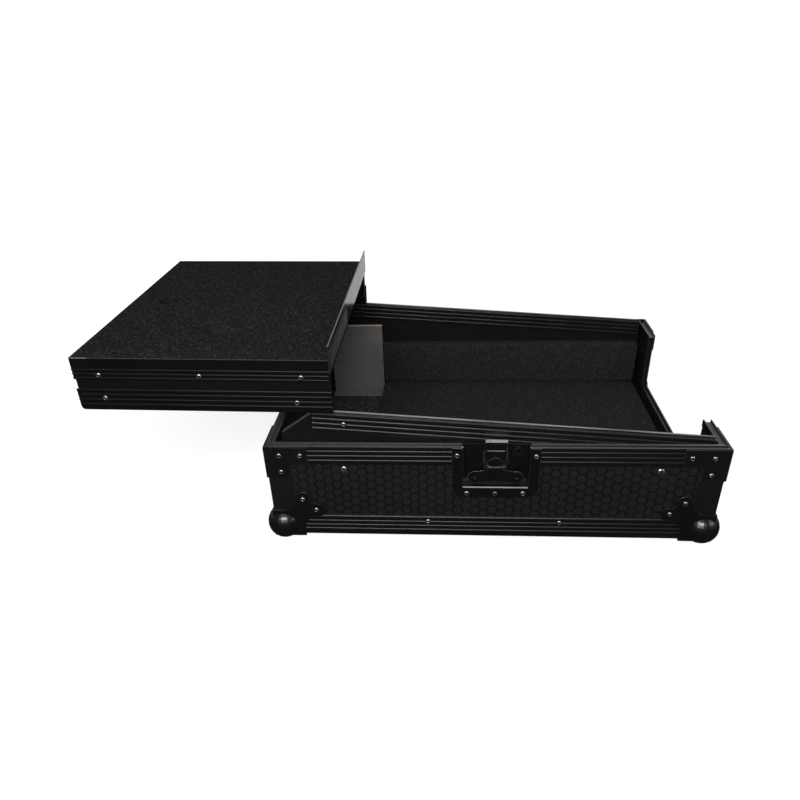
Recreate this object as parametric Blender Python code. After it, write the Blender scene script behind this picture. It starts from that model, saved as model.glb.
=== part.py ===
"""Mixer flight case with a sliding laptop shelf, built as separate pieces in metres, +Z up.

The case stands on the floor with its length along X. The shelf is drawn out over the rear (-X) end,
tipped a little on the rear ends of its sloping rails, and the near side (-Y) carries one of two latches.
Run it with blender --background --python part.py, or from the text editor.
"""

import math

import bmesh
import bpy
from mathutils import Matrix, Vector

# Clearances
GAP = 0.0003                # left between pieces that touch
RUNNING_GAP = 0.0008        # under the shelf's foot trims when they lie along the rails
SLEEVE_GAP = 0.0003         # round pins in their holes

# Sheet, board and extrusion
BOARD = 0.009               # plywood with its laminate
METAL = 0.0010              # wall of the aluminium extrusions
RIDGE = 0.0006              # height of the extrusions' ridges
RIDGE_WIDTH = 0.0022
PLATE = 0.0012              # pressed steel of the ball corners

SMOOTH_ANGLE = 34.0         # steeper edges are drawn sharp

# Base
BASE_LENGTH = 0.576
BASE_WIDTH = 0.418
BASE_HEIGHT = 0.141
RIM_LEG = 0.027             # ribbed outer leg of the rim, which hangs over the wall
RIM_INNER_LEG = 0.010
RIM_PITCH = 0.0069          # spacing of the rim's ridges, from the top
TONGUE_WIDTH = 0.0040
TONGUE_HEIGHT = 0.0024
CHANNEL_DEPTH = 0.0040      # of the open channel along the front rim
BOTTOM_LEG = 0.032
BOTTOM_FLANGE = 0.030
BOTTOM_RIDGES = (0.0102, 0.0168, 0.0235, 0.0308)
CORNER_LEG = 0.031          # smooth angle up each corner
FOOT_HEIGHT = 0.009
FOOT_RADIUS = 0.016
FOOT_INSET = 0.088

# Ball corners
BALL_RADIUS = 0.0236
BALL_INSET = 0.0115         # of the ball's centre from both side planes
BALL_CLEARANCE = 0.0004     # under the ball, to the surface that the feet stand on
LOBE_NEAR = 0.042           # a lobe's centre along one edge, and the other lobe's along the other
LOBE_FAR = 0.060
LOBE_RADIUS = 0.0105
CORNER_REACH = 0.041        # of a leaf's narrow foot from the corner
LEAF_FILLET = 0.020         # from the narrow foot to a lobe

# Front opening, from which the access panel has been taken
NOTCH_WIDTH = 0.274
NOTCH_SILL = 0.050
NOTCH_GROOVE = 0.004

# Risers and rails
RAIL_INSET = 0.0126         # from the case's outer plane to the rails' outer ridges
RAIL_REAR_X = 0.064
RAIL_RISE = 0.0413          # of the rails' rear ends over the rim
RAIL_FRONT_GAP = 0.0155     # from the rails' front ends to the base's front plane
RAIL_SLOPE = math.radians(4.22)
RISER_REAR_X = 0.022
RISER_RISE = 0.0115         # of the risers' rear corner over the rim
RISER_SETBACK = 0.0015      # of the riser's ends from the rail's ends

# Foam
BED_REAR_X = 0.118
BED_TOP = 0.040
PAD_FRONT_GAP = 0.006
SIDE_PAD = 0.018
SIDE_PAD_DROP = 0.028       # of the side pads' tops under the rim
REAR_PAD = 0.008
REAR_PAD_DROP = 0.009       # of the rear pad's top under the rim's inner leg
REAR_PAD_MARGIN = 0.006

# Latches
LATCH_OFFSET = 0.0055       # of the latches from the middle of the base's length
LATCH_DROP = 0.0305         # of the cam's axis under the rim
DISH_HALF = 0.0415          # half of the recess's width
DISH_DOWN = 0.0305          # from the cam's axis to the recess's lower wall
DISH_DEPTH = 0.0102         # of the recess's floor under the case's outer plane
FLANGE_HALF = 0.055
FLANGE_DOWN = 0.046
FLANGE_ROUND = 0.015        # of the flange's lower corners
GUIDE_LOW = 0.004
GUIDE_HIGH = 0.019
GUIDE_WIDTH = 0.0016
GUIDE_HEIGHT = 0.0032
EYELET_X = 0.028
EYELET_Z = 0.021
EYELET_RADIUS = 0.0070
EYELET_BORE = 0.0030
EYELET_HEIGHT = 0.0047
HOOK_HALF = 0.0138
HOOK_THICK = 0.0015
HOOK_BACK_GAP = 0.0008      # between the hook plate and the recess's floor
HOOK_DOWN = 0.008
HOOK_UP = 0.0370
HOOK_LIP = 0.0049           # reach of the lip that catches the lid
HOOK_CLAW = 0.0035
HOOK_SLOT = 0.022
HOOK_SLOT_Z = 0.0215
CAM_RADIUS = 0.0125
CAM_FRONT = 0.0047          # depth of the disc's face under the outer plane
CAM_DISC = 0.0025
CAM_OFFSET = 0.0035         # of the eccentric, which is half of the hook's travel
ECCENTRIC_RADIUS = 0.0065
CAM_SHAFT = 0.0028
CAM_PLAY = 0.0009           # what the round eccentric needs over and under it in the hook's window
LUG_WIDTH = 0.0020
LUG_HALF = 0.0019
BARREL_DEPTH = 0.0029       # of the butterfly's pin under the outer plane
BARREL_RADIUS = 0.0015
BARREL_HALF = 0.0087
BUTTERFLY_PIN = 0.0008
WING_THICK = 0.0016
WING_LOBE_X = 0.0262
WING_LOBE_Z = 0.0152
WING_LOBE = 0.0090
WING_HOLE = 0.0017

# Handle in the rear wall
HANDLE_MARGIN = 0.002       # from the handle's flange to the trims over and under it
HANDLE_HALF = 0.048
HANDLE_FLANGE = 0.010
HANDLE_DEPTH = 0.0140
BAIL_ROD = 0.0032
BAIL_GRIP = 0.0055
BAIL_PIVOT_GAP = 0.0105     # from the recess's upper wall to the bail's axis
BAIL_FOOT_GAP = 0.0170      # from the grip's middle to the recess's lower wall
BAIL_DEPTH = 0.0070
BAIL_SIDE_GAP = 0.0040
BAIL_BEND = 0.0036          # radius of the rod's bends, to its middle

# Shelf, in its own frame: the pivot on the rail at zero, z up from the foot trims
SHELF_LENGTH = 0.3215
SHELF_HEIGHT = 0.0720
SHELF_FRONT = 0.0205        # ahead of the pivot when the shelf is drawn out
SHELF_TILT = math.radians(0.84)
SHELF_EDGE_LEG = 0.029
SHELF_EDGE_RIDGES = (0.0023, 0.0078, 0.0136)
SHELF_EDGE_RETURN = 0.0050
SHELF_FOOT_LEG = 0.030
SHELF_FOOT_RIDGES = (0.0084, 0.0152, 0.0221, 0.0286)
SHELF_FOOT_INNER = 0.012
SHELF_FOOT_ROUND = 0.006    # of the foot trims' lower rear corners
SHELF_GROOVE = 0.0052
SHELF_GROOVE_DEPTH = 0.0034
SHELF_FOAM = 0.0030
SHELF_FOAM_INSET = 0.0012   # from the edge trims' returns
SHELF_HOLE = 0.0140
SHELF_HOLE_X = 0.055        # from the rear edge
LIP_UP = 0.0190
LIP_DOWN = 0.0170
LIP_THICK = 0.0016
LIP_TRIM_LENGTH = 0.150
LIP_TRIM_UP = 0.0095        # of the ribbed trim over the shelf's top
LIP_TRIM_PITCH = 0.0062

# Glide shoes, which rock on the rails' rear ends
SHOE_LENGTH = 0.0110
SHOE_WIDTH = 0.0034
SHOE_SETBACK = 0.0065       # of the pivot from the rail's rear end
SHOE_CROWN = 0.0006         # rise of the underside's ends over its middle

# Worked out from the sizes above
WALL_OUT = RIDGE + METAL + GAP              # outer plane to a board's outer face
WALL_IN = WALL_OUT + BOARD                  # outer plane to a board's inner face
RIM_WIDTH = WALL_IN + GAP + METAL - 0.0002
RAIL_WIDTH = 2.0 * (RIDGE + METAL + GAP) + BOARD
FLOOR_LOW = METAL + GAP
FLOOR_TOP = FLOOR_LOW + BOARD
WALL_TOP = BASE_HEIGHT - METAL - GAP
RAIL_REAR_Z = BASE_HEIGHT + RAIL_RISE
RAIL_FRONT_X = BASE_LENGTH - RAIL_FRONT_GAP
RISER_REAR_Z = BASE_HEIGHT + RISER_RISE
SIDE_PAD_TOP = BASE_HEIGHT - SIDE_PAD_DROP
REAR_PAD_TOP = BASE_HEIGHT - RIM_INNER_LEG - REAR_PAD_DROP
LATCH_X = BASE_LENGTH / 2.0 + LATCH_OFFSET
LATCH_Z = BASE_HEIGHT - LATCH_DROP
HANDLE_Z = (BOTTOM_LEG + BASE_HEIGHT - RIM_LEG) / 2.0
HANDLE_HALF_HEIGHT = BASE_HEIGHT - RIM_LEG - HANDLE_Z - HANDLE_MARGIN - HANDLE_FLANGE - METAL
BAIL_PIVOT_Z = HANDLE_HALF_HEIGHT - BAIL_PIVOT_GAP
BALL_RISE = BALL_RADIUS - FOOT_HEIGHT + BALL_CLEARANCE
BAIL_DROP = 2.0 * HANDLE_HALF_HEIGHT - BAIL_PIVOT_GAP - BAIL_FOOT_GAP
PIVOT_X = RAIL_REAR_X + SHOE_SETBACK * math.cos(RAIL_SLOPE)
PIVOT_Z = RAIL_REAR_Z - SHOE_SETBACK * math.sin(RAIL_SLOPE)
SHELF_WIDTH = BASE_WIDTH - 2.0 * RAIL_INSET
SHELF_REAR = SHELF_LENGTH - SHELF_FRONT
REAR_RISE = RUNNING_GAP + SHELF_FOOT_ROUND
REAR_REACH = SHELF_REAR * math.cos(SHELF_TILT) - REAR_RISE * math.sin(SHELF_TILT) - PIVOT_X
FRONT_REACH = BASE_LENGTH - BALL_INSET + BALL_RADIUS
CENTRE_X = (FRONT_REACH - REAR_REACH) / 2.0
CENTRE_Y = BASE_WIDTH / 2.0

COLOURS = {
    "laminate": ((0.012, 0.0105, 0.0100), 0.42, 0.0),
    "plywood": ((0.020, 0.019, 0.018), 0.60, 0.0),
    "black_aluminium": ((0.016, 0.016, 0.016), 0.32, 1.0),
    "black_steel": ((0.014, 0.014, 0.015), 0.28, 1.0),
    "bare_steel": ((0.52, 0.52, 0.50), 0.30, 1.0),
    "rubber": ((0.012, 0.012, 0.012), 0.80, 0.0),
    "foam": ((0.030, 0.030, 0.031), 0.95, 0.0),
    "shelf_foam": ((0.016, 0.016, 0.016), 0.90, 0.0),
    "nylon": ((0.030, 0.030, 0.030), 0.45, 0.0),
}


def clear_scene():
    """Removes every object that the scene starts with."""
    for old in list(bpy.data.objects):
        bpy.data.objects.remove(old, do_unlink=True)


def material(name):
    """Returns the named finish, made on its first use."""
    found = bpy.data.materials.get(name)
    if found is not None:
        return found
    colour, roughness, metallic = COLOURS[name]
    made = bpy.data.materials.new(name)
    made.use_nodes = True
    shader = made.node_tree.nodes["Principled BSDF"]
    shader.inputs["Base Color"].default_value = (*colour, 1.0)
    shader.inputs["Roughness"].default_value = roughness
    shader.inputs["Metallic"].default_value = metallic
    return made


def make_object(name, bm, finish=None, smooth=False):
    """Turns a bmesh into a linked object with its faces outward."""
    bmesh.ops.recalc_face_normals(bm, faces=bm.faces)
    mesh = bpy.data.meshes.new(name)
    bm.to_mesh(mesh)
    bm.free()
    if smooth:
        mesh.shade_smooth()
    if finish:
        mesh.materials.append(material(finish))
    made = bpy.data.objects.new(name, mesh)
    bpy.context.scene.collection.objects.link(made)
    return made


def put(piece, parent=None, at=(0.0, 0.0, 0.0), turn=(0.0, 0.0, 0.0)):
    """Places a piece under a parent by its location and rotation."""
    piece.parent = parent
    piece.location = at
    piece.rotation_euler = turn
    return piece


def empty(name, parent=None, at=(0.0, 0.0, 0.0), turn=(0.0, 0.0, 0.0)):
    """Adds an empty that carries a group of pieces."""
    made = bpy.data.objects.new(name, None)
    bpy.context.scene.collection.objects.link(made)
    return put(made, parent, at, turn)


def combine(piece, operation, *tools):
    """Bakes Boolean tools into a piece's mesh and removes the tools."""
    for tool in tools:
        step = piece.modifiers.new(tool.name, "BOOLEAN")
        step.operation = operation
        step.solver = "EXACT"
        step.object = tool
    bpy.context.view_layer.update()
    graph = bpy.context.evaluated_depsgraph_get()
    baked = bpy.data.meshes.new_from_object(piece.evaluated_get(graph))
    piece.modifiers.clear()
    old = piece.data
    baked.name = old.name
    piece.data = baked
    bpy.data.meshes.remove(old)
    for tool in tools:
        bpy.data.objects.remove(tool, do_unlink=True)
    return piece


def cut(piece, *tools):
    """Takes the tools' shapes out of a piece."""
    return combine(piece, "DIFFERENCE", *tools)


def join(piece, *tools):
    """Adds the tools' shapes to a piece."""
    return combine(piece, "UNION", *tools)


def block(name, low, high, finish=None):
    """Box between two corners."""
    bm = bmesh.new()
    size = Vector(high) - Vector(low)
    middle = (Vector(high) + Vector(low)) / 2.0
    bmesh.ops.create_cube(bm, size=1.0, matrix=Matrix.Translation(middle) @ Matrix.Diagonal((*size, 1.0)))
    return make_object(name, bm, finish)


def cylinder(name, radius, start, end, segments=24, finish=None):
    """Round bar between two points."""
    bm = bmesh.new()
    start = Vector(start)
    along = Vector(end) - start
    turn = along.to_track_quat("Z", "Y").to_matrix().to_4x4()
    place = Matrix.Translation(start + along / 2.0) @ turn
    bmesh.ops.create_cone(bm, cap_ends=True, segments=segments, radius1=radius, radius2=radius,
                          depth=along.length, matrix=place)
    return make_object(name, bm, finish, smooth=False)


def slab(name, outline, low, high, axis="y", finish=None):
    """Plate with a closed outline, given thickness along one axis."""
    bm = bmesh.new()
    if axis == "y":
        points = [(u, low, w) for u, w in outline]
        push = Vector((0.0, high - low, 0.0))
    elif axis == "x":
        points = [(low, u, w) for u, w in outline]
        push = Vector((high - low, 0.0, 0.0))
    else:
        points = [(u, w, low) for u, w in outline]
        push = Vector((0.0, 0.0, high - low))
    face = bm.faces.new([bm.verts.new(point) for point in points])
    grown = bmesh.ops.extrude_face_region(bm, geom=[face])
    moved = [item for item in grown["geom"] if isinstance(item, bmesh.types.BMVert)]
    bmesh.ops.translate(bm, verts=moved, vec=push)
    return make_object(name, bm, finish)


def tube(name, path, radius, segments, finish=None):
    """Round rod along a path in (x, z), with flat ends."""
    bm = bmesh.new()
    points = [Vector((x, 0.0, z)) for x, z in path]
    rings = []
    for index, point in enumerate(points):
        before = points[max(index - 1, 0)]
        after = points[min(index + 1, len(points) - 1)]
        along = (after - before).normalized()
        across = along.cross(Vector((0.0, 1.0, 0.0)))
        ring = []
        for step in range(segments):
            angle = math.tau * step / segments
            ring.append(bm.verts.new(point + (across * math.cos(angle) + Vector((0.0, math.sin(angle), 0.0)))
                                     * radius))
        rings.append(ring)
    bm.faces.new(rings[0])
    bm.faces.new(list(reversed(rings[-1])))
    for first, second in zip(rings, rings[1:]):
        for step in range(segments):
            after = (step + 1) % segments
            bm.faces.new((first[step], second[step], second[after], first[after]))
    return make_object(name, bm, finish)


def extrusion(name, profile, length, mitres=(0.0, 0.0), finish="black_aluminium"):
    """Profile in (y, z) drawn along +X, each end cut back by its mitre times y."""
    bm = bmesh.new()
    starts = [bm.verts.new((mitres[0] * y, y, z)) for y, z in profile]
    ends = [bm.verts.new((length - mitres[1] * y, y, z)) for y, z in profile]
    count = len(profile)
    bm.faces.new(list(reversed(starts)))
    bm.faces.new(ends)
    for index in range(count):
        after = (index + 1) % count
        bm.faces.new((starts[index], starts[after], ends[after], ends[index]))
    return make_object(name, bm, finish)


def arc(centre, radius, start, end, steps):
    """Points on an arc, in degrees."""
    points = []
    for step in range(steps + 1):
        angle = math.radians(start + (end - start) * step / steps)
        points.append((centre[0] + radius * math.cos(angle), centre[1] + radius * math.sin(angle)))
    return points


def ridge(plane, level, outward):
    """Three points of one ridge on a leg's face: plane is the ridge's tip, outward -1 or 1 along y."""
    half = RIDGE_WIDTH / 2.0
    foot = plane - outward * RIDGE
    return [(foot, level - half), (plane, level - half * 0.3), (plane, level + half * 0.3),
            (foot, level + half)]


def leg_face(tip, low, high, levels, outward):
    """Ribbed face of a leg, from low to high."""
    foot = tip - outward * RIDGE
    points = [(foot, low)]
    for level in levels:
        if low + RIDGE_WIDTH < level < high - RIDGE_WIDTH / 2.0:
            points += ridge(tip, level, outward)
    points.append((foot, high))
    return points


def tongued_profile(width, outer_leg, inner_leg, inner_ridges):
    """Rim or rail: a channel over a board's edge, with a tongue along its top."""
    levels = [-RIM_PITCH * count for count in (3, 2, 1)]
    outer = leg_face(0.0, -outer_leg, -0.0004, levels, -1.0)
    crown = [(RIDGE + 0.0004, 0.0)]
    middle = width / 2.0
    half = TONGUE_WIDTH / 2.0
    chamfer = TONGUE_HEIGHT / 3.0
    tongue = [(middle - half, 0.0), (middle - half, TONGUE_HEIGHT - chamfer),
              (middle - half + chamfer, TONGUE_HEIGHT), (middle + half - chamfer, TONGUE_HEIGHT),
              (middle + half, TONGUE_HEIGHT - chamfer), (middle + half, 0.0)]
    if inner_ridges:
        face = leg_face(width, -inner_leg, -0.0004, levels, 1.0)
        inner = [(width - RIDGE - 0.0004, 0.0)] + list(reversed(face))
        inside = width - RIDGE - METAL
    else:
        inner = [(width, 0.0), (width, -inner_leg)]
        inside = width - METAL + 0.0002
    under = [(inside, -inner_leg), (inside, -METAL), (RIDGE + METAL, -METAL), (RIDGE + METAL, -outer_leg)]
    return outer + crown + tongue + inner + under


def channel_profile(width, outer_leg, inner_leg):
    """Front rim: the same legs with an open channel between them, for the access panel's edge."""
    levels = [-RIM_PITCH * count for count in (3, 2, 1)]
    outer = leg_face(0.0, -outer_leg, -0.0004, levels, -1.0)
    lip = RIDGE + METAL + 0.0004
    inside = width - METAL - 0.0006
    floor = -CHANNEL_DEPTH
    over = [(RIDGE + 0.0004, 0.0), (lip, 0.0), (lip, floor), (inside, floor), (inside, 0.0),
            (width, 0.0), (width, -inner_leg), (width - METAL + 0.0002, -inner_leg),
            (width - METAL + 0.0002, floor - METAL), (RIDGE + METAL, floor - METAL),
            (RIDGE + METAL, -outer_leg)]
    return outer + over


def bottom_profile():
    """Angle round the base's lower edges, ribbed outside and flat below."""
    face = leg_face(0.0, 0.0012, BOTTOM_LEG, BOTTOM_RIDGES, -1.0)
    return face + [(RIDGE + METAL, BOTTOM_LEG), (RIDGE + METAL, METAL), (BOTTOM_FLANGE, METAL),
                   (BOTTOM_FLANGE, 0.0), (RIDGE + 0.0012, 0.0)]


def shelf_edge_profile():
    """Angle round the shelf's top edges: a plain band above, ridges below and a narrow return."""
    top = SHELF_EDGE_LEG
    face = leg_face(0.0, 0.0, top - 0.0004, SHELF_EDGE_RIDGES, -1.0)
    return face + [(RIDGE + 0.0004, top), (SHELF_EDGE_RETURN, top), (SHELF_EDGE_RETURN, top - METAL),
                   (RIDGE + METAL, top - METAL), (RIDGE + METAL, 0.0)]


def shelf_foot_profile():
    """Channel under a shelf wall, with the groove that runs over the rail's tongue."""
    face = leg_face(0.0, 0.0008, SHELF_FOOT_LEG, SHELF_FOOT_RIDGES, -1.0)
    middle = RAIL_WIDTH / 2.0
    half = SHELF_GROOVE / 2.0
    seat = SHELF_GROOVE_DEPTH + METAL
    inside = WALL_IN + GAP
    return face + [(RIDGE + METAL, SHELF_FOOT_LEG), (RIDGE + METAL, seat), (inside, seat),
                   (inside, SHELF_FOOT_INNER), (inside + METAL, SHELF_FOOT_INNER), (inside + METAL, 0.0),
                   (middle + half, 0.0), (middle + half, SHELF_GROOVE_DEPTH),
                   (middle - half, SHELF_GROOVE_DEPTH), (middle - half, 0.0), (RIDGE + 0.0008, 0.0)]


def lip_trim_profile():
    """Ribbed strip on the near part of the lip, in (y, z) with its tips at zero."""
    height = LIP_TRIM_UP + LIP_DOWN
    levels = [height - LIP_TRIM_PITCH * count for count in (4, 3, 2, 1)]
    return leg_face(0.0, 0.0, height, levels, -1.0) + [(RIDGE + METAL, height), (RIDGE + METAL, 0.0)]


def side(base, name, which):
    """Empty on one side's outer plane: its X runs along the side and its Y points into the case."""
    places = {
        "near": ((0.0, 0.0, 0.0), 0.0),
        "front": ((BASE_LENGTH, 0.0, 0.0), 90.0),
        "far": ((BASE_LENGTH, BASE_WIDTH, 0.0), 180.0),
        "rear": ((0.0, BASE_WIDTH, 0.0), 270.0),
    }
    at, turn = places[which]
    return empty(name, base, at, (0.0, 0.0, math.radians(turn)))


def rim_tool(low, high):
    """Cutter over a stretch of a rim's outer leg, where a latch's flange lies."""
    return block("leg_cutter", (low, -0.001, -RIM_LEG - 0.001), (high, RIDGE + METAL + 0.0001, -METAL))


def build_rims(sides):
    """Rim extrusions: tongued along three sides, split at the latches, and channelled at the front."""
    profile = tongued_profile(RIM_WIDTH, RIM_LEG, RIM_INNER_LEG, False)
    opening = DISH_HALF + METAL + GAP
    flange = FLANGE_HALF + GAP
    for which, centre in (("near", LATCH_X), ("far", BASE_LENGTH - LATCH_X)):
        first_name, last_name = ("rear", "front") if which == "near" else ("front", "rear")
        first = extrusion(f"rim_{which}_{first_name}", profile, centre - opening, (1.0, 0.0))
        cut(first, rim_tool(centre - flange, centre - opening + 0.001))
        put(first, sides[which], (0.0, 0.0, BASE_HEIGHT))
        last = extrusion(f"rim_{which}_{last_name}", profile, BASE_LENGTH - centre - opening, (0.0, 1.0))
        cut(last, rim_tool(-0.001, flange - opening))
        put(last, sides[which], (centre + opening, 0.0, BASE_HEIGHT))
    rear = extrusion("rim_rear", profile, BASE_WIDTH, (1.0, 1.0))
    put(rear, sides["rear"], (0.0, 0.0, BASE_HEIGHT))
    open_profile = channel_profile(RIM_WIDTH, RIM_LEG, RIM_INNER_LEG)
    stub = (BASE_WIDTH - NOTCH_WIDTH) / 2.0
    near = extrusion("rim_front_near", open_profile, stub, (1.0, 0.0))
    put(near, sides["front"], (0.0, 0.0, BASE_HEIGHT))
    far = extrusion("rim_front_far", open_profile, stub, (0.0, 1.0))
    put(far, sides["front"], (BASE_WIDTH - stub, 0.0, BASE_HEIGHT))


def build_bottom_trims(sides):
    """Angles round the base's lower edge, mitred at the corners."""
    for which, length in (("near", BASE_LENGTH), ("far", BASE_LENGTH), ("rear", BASE_WIDTH),
                          ("front", BASE_WIDTH)):
        put(extrusion(f"bottom_trim_{which}", bottom_profile(), length, (1.0, 1.0)), sides[which])


def build_corner_angles(sides):
    """Smooth angles up the four corners, between the rim and the bottom trims."""
    low = BOTTOM_LEG + GAP
    high = BASE_HEIGHT - RIM_LEG - GAP
    near = RIDGE
    far = RIDGE + METAL
    outline = [(near, near), (CORNER_LEG, near), (CORNER_LEG, far), (far, far), (far, CORNER_LEG),
               (near, CORNER_LEG)]
    names = {"near": "rear_near", "front": "front_near", "far": "front_far", "rear": "rear_far"}
    for which, name in names.items():
        put(slab(f"corner_angle_{name}", outline, low, high, "z", "black_aluminium"), sides[which])


def lobed_outline():
    """Outline of one leaf of a ball corner: a narrow foot, a fillet and a lobe, then the same mirrored."""
    edge = -GAP - PLATE
    middle = CORNER_REACH + LEAF_FILLET
    rise = math.sqrt((LEAF_FILLET + LOBE_RADIUS) ** 2 - (middle - LOBE_FAR) ** 2)
    meeting = math.degrees(math.atan2(rise, LOBE_FAR - middle))
    lower = [(CORNER_REACH, edge)]
    lower += arc((middle, LOBE_NEAR - rise), LEAF_FILLET, 180.0, meeting, 6)
    lower += arc((LOBE_FAR, LOBE_NEAR), LOBE_RADIUS, meeting - 180.0, 112.0, 11)[1:]
    upper = [(along, out) for out, along in reversed(lower)]
    return [(edge, edge)] + lower + upper


def build_ball_corners(sides):
    """Ball corners: a ball over the corner and a lobed leaf on each of the three faces."""
    names = {"near": "rear_near", "front": "front_near", "far": "front_far", "rear": "rear_far"}
    outline = lobed_outline()
    low = -GAP - PLATE
    for which, name in names.items():
        bm = bmesh.new()
        centre = Matrix.Translation((BALL_INSET, BALL_INSET, BALL_RISE))
        bmesh.ops.create_uvsphere(bm, u_segments=32, v_segments=20, radius=BALL_RADIUS, matrix=centre)
        ball = make_object(f"ball_corner_{name}", bm, "black_steel")
        join(ball, slab("leaf_side", outline, low, -GAP, "y"), slab("leaf_end", outline, low, -GAP, "x"),
             slab("leaf_below", outline, low, -GAP, "z"))
        cut(ball, block("corner_space", (-GAP, -GAP, -GAP), (0.1, 0.1, 0.1)))
        put(ball, sides[which])


def build_boards(base, sides):
    """Floor and wall boards, with the openings for the latches, the handle and the front panel."""
    inner_length = BASE_LENGTH - 2.0 * (WALL_IN + GAP)
    inner_width = BASE_WIDTH - 2.0 * (WALL_IN + GAP)
    floor = block("base_floor", (0.0, 0.0, 0.0), (inner_length, inner_width, BOARD), "plywood")
    put(floor, base, (WALL_IN + GAP, WALL_IN + GAP, FLOOR_LOW))
    long_wall = BASE_LENGTH - 2.0 * WALL_OUT
    height = WALL_TOP - FLOOR_LOW
    opening = DISH_HALF + METAL + GAP
    sill = LATCH_Z - DISH_DOWN - METAL - GAP
    for which, centre in (("near", LATCH_X), ("far", BASE_LENGTH - LATCH_X)):
        wall = block(f"wall_{which}", (0.0, 0.0, 0.0), (long_wall, BOARD, height), "laminate")
        middle = centre - WALL_OUT
        tool = block("latch_space", (middle - opening, -0.01, sill - FLOOR_LOW),
                     (middle + opening, 0.02, height + 0.01))
        depth = RIM_WIDTH + GAP - WALL_OUT
        ends = (long_wall - depth, long_wall + 0.01) if which == "near" else (-0.01, depth)
        room = block("front_rim_room", (ends[0], -0.01, height - CHANNEL_DEPTH),
                     (ends[1], 0.02, height + 0.01))
        put(cut(wall, tool, room), sides[which], (WALL_OUT, WALL_OUT, FLOOR_LOW))
    rear = block("wall_rear", (0.0, 0.0, 0.0), (inner_width, BOARD, height), "laminate")
    middle = inner_width / 2.0
    across = HANDLE_HALF + METAL + GAP
    tall = HANDLE_HALF_HEIGHT + METAL + GAP
    tool = block("handle_space", (middle - across, -0.01, HANDLE_Z - tall - FLOOR_LOW),
                 (middle + across, 0.02, HANDLE_Z + tall - FLOOR_LOW))
    put(cut(rear, tool), sides["rear"], (WALL_IN + GAP, WALL_OUT, FLOOR_LOW))
    low_top = height - CHANNEL_DEPTH
    front = block("wall_front", (0.0, 0.0, 0.0), (inner_width, BOARD, low_top), "laminate")
    left = middle - NOTCH_WIDTH / 2.0
    right = middle + NOTCH_WIDTH / 2.0
    sill = NOTCH_SILL - FLOOR_LOW
    slot = (BOARD - NOTCH_GROOVE) / 2.0
    tool = block("notch", (left, -0.01, sill), (right, 0.02, low_top + 0.01))
    groove = block("notch_groove", (left - NOTCH_GROOVE, slot, sill - NOTCH_GROOVE),
                   (right + NOTCH_GROOVE, slot + NOTCH_GROOVE, low_top + 0.01))
    put(cut(front, tool, groove), sides["front"], (WALL_IN + GAP, WALL_OUT, FLOOR_LOW))


def build_feet(base):
    """Rubber feet under the floor board, inside the bottom trims."""
    for name, x, y in (("rear_near", FOOT_INSET, FOOT_INSET),
                       ("front_near", BASE_LENGTH - FOOT_INSET, FOOT_INSET),
                       ("front_far", BASE_LENGTH - FOOT_INSET, BASE_WIDTH - FOOT_INSET),
                       ("rear_far", FOOT_INSET, BASE_WIDTH - FOOT_INSET)):
        foot = cylinder(f"foot_{name}", FOOT_RADIUS, (0.0, 0.0, 0.0),
                        (0.0, 0.0, FOOT_HEIGHT + FLOOR_LOW - GAP), 28, "rubber")
        rounding = foot.modifiers.new("edge", "BEVEL")
        rounding.width = 0.0015
        rounding.segments = 2
        rounding.limit_method = "ANGLE"
        put(foot, base, (x, y, -FOOT_HEIGHT))


def rail_level(x):
    """Height of the rails' top plane over a place along the base."""
    return RAIL_REAR_Z - (x - RAIL_REAR_X) * math.tan(RAIL_SLOPE)


def build_risers(base):
    """Sloping side boards inside the long walls, each capped by its rail."""
    drop = (METAL + GAP) / math.cos(RAIL_SLOPE)
    rear = RAIL_REAR_X - RISER_SETBACK
    front = RAIL_FRONT_X - RISER_SETBACK
    low = FLOOR_TOP + GAP
    outline = [(RISER_REAR_X, low), (front, low), (front, rail_level(front) - drop),
               (rear, rail_level(rear) - drop), (RISER_REAR_X, RISER_REAR_Z)]
    inset = RAIL_INSET + RIDGE + METAL + GAP
    profile = tongued_profile(RAIL_WIDTH, RIM_LEG, RIM_LEG, True)
    length = (RAIL_FRONT_X - RAIL_REAR_X) / math.cos(RAIL_SLOPE)
    for name, y in (("near", inset), ("far", BASE_WIDTH - inset - BOARD)):
        put(slab(f"riser_{name}", outline, 0.0, BOARD, "y", "laminate"), base, (0.0, y, 0.0))
    shoe = SHOE_SETBACK + SHOE_LENGTH / 2.0 + GAP
    middle = RAIL_WIDTH / 2.0
    for name, y in (("near", RAIL_INSET), ("far", BASE_WIDTH - RAIL_INSET - RAIL_WIDTH)):
        rail = extrusion(f"rail_{name}", profile, length)
        tool = block("shoe_space", (-0.001, middle - TONGUE_WIDTH, 0.0), (shoe, middle + TONGUE_WIDTH, 0.01))
        put(cut(rail, tool), base, (RAIL_REAR_X, y, RAIL_REAR_Z), (0.0, RAIL_SLOPE, 0.0))


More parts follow.
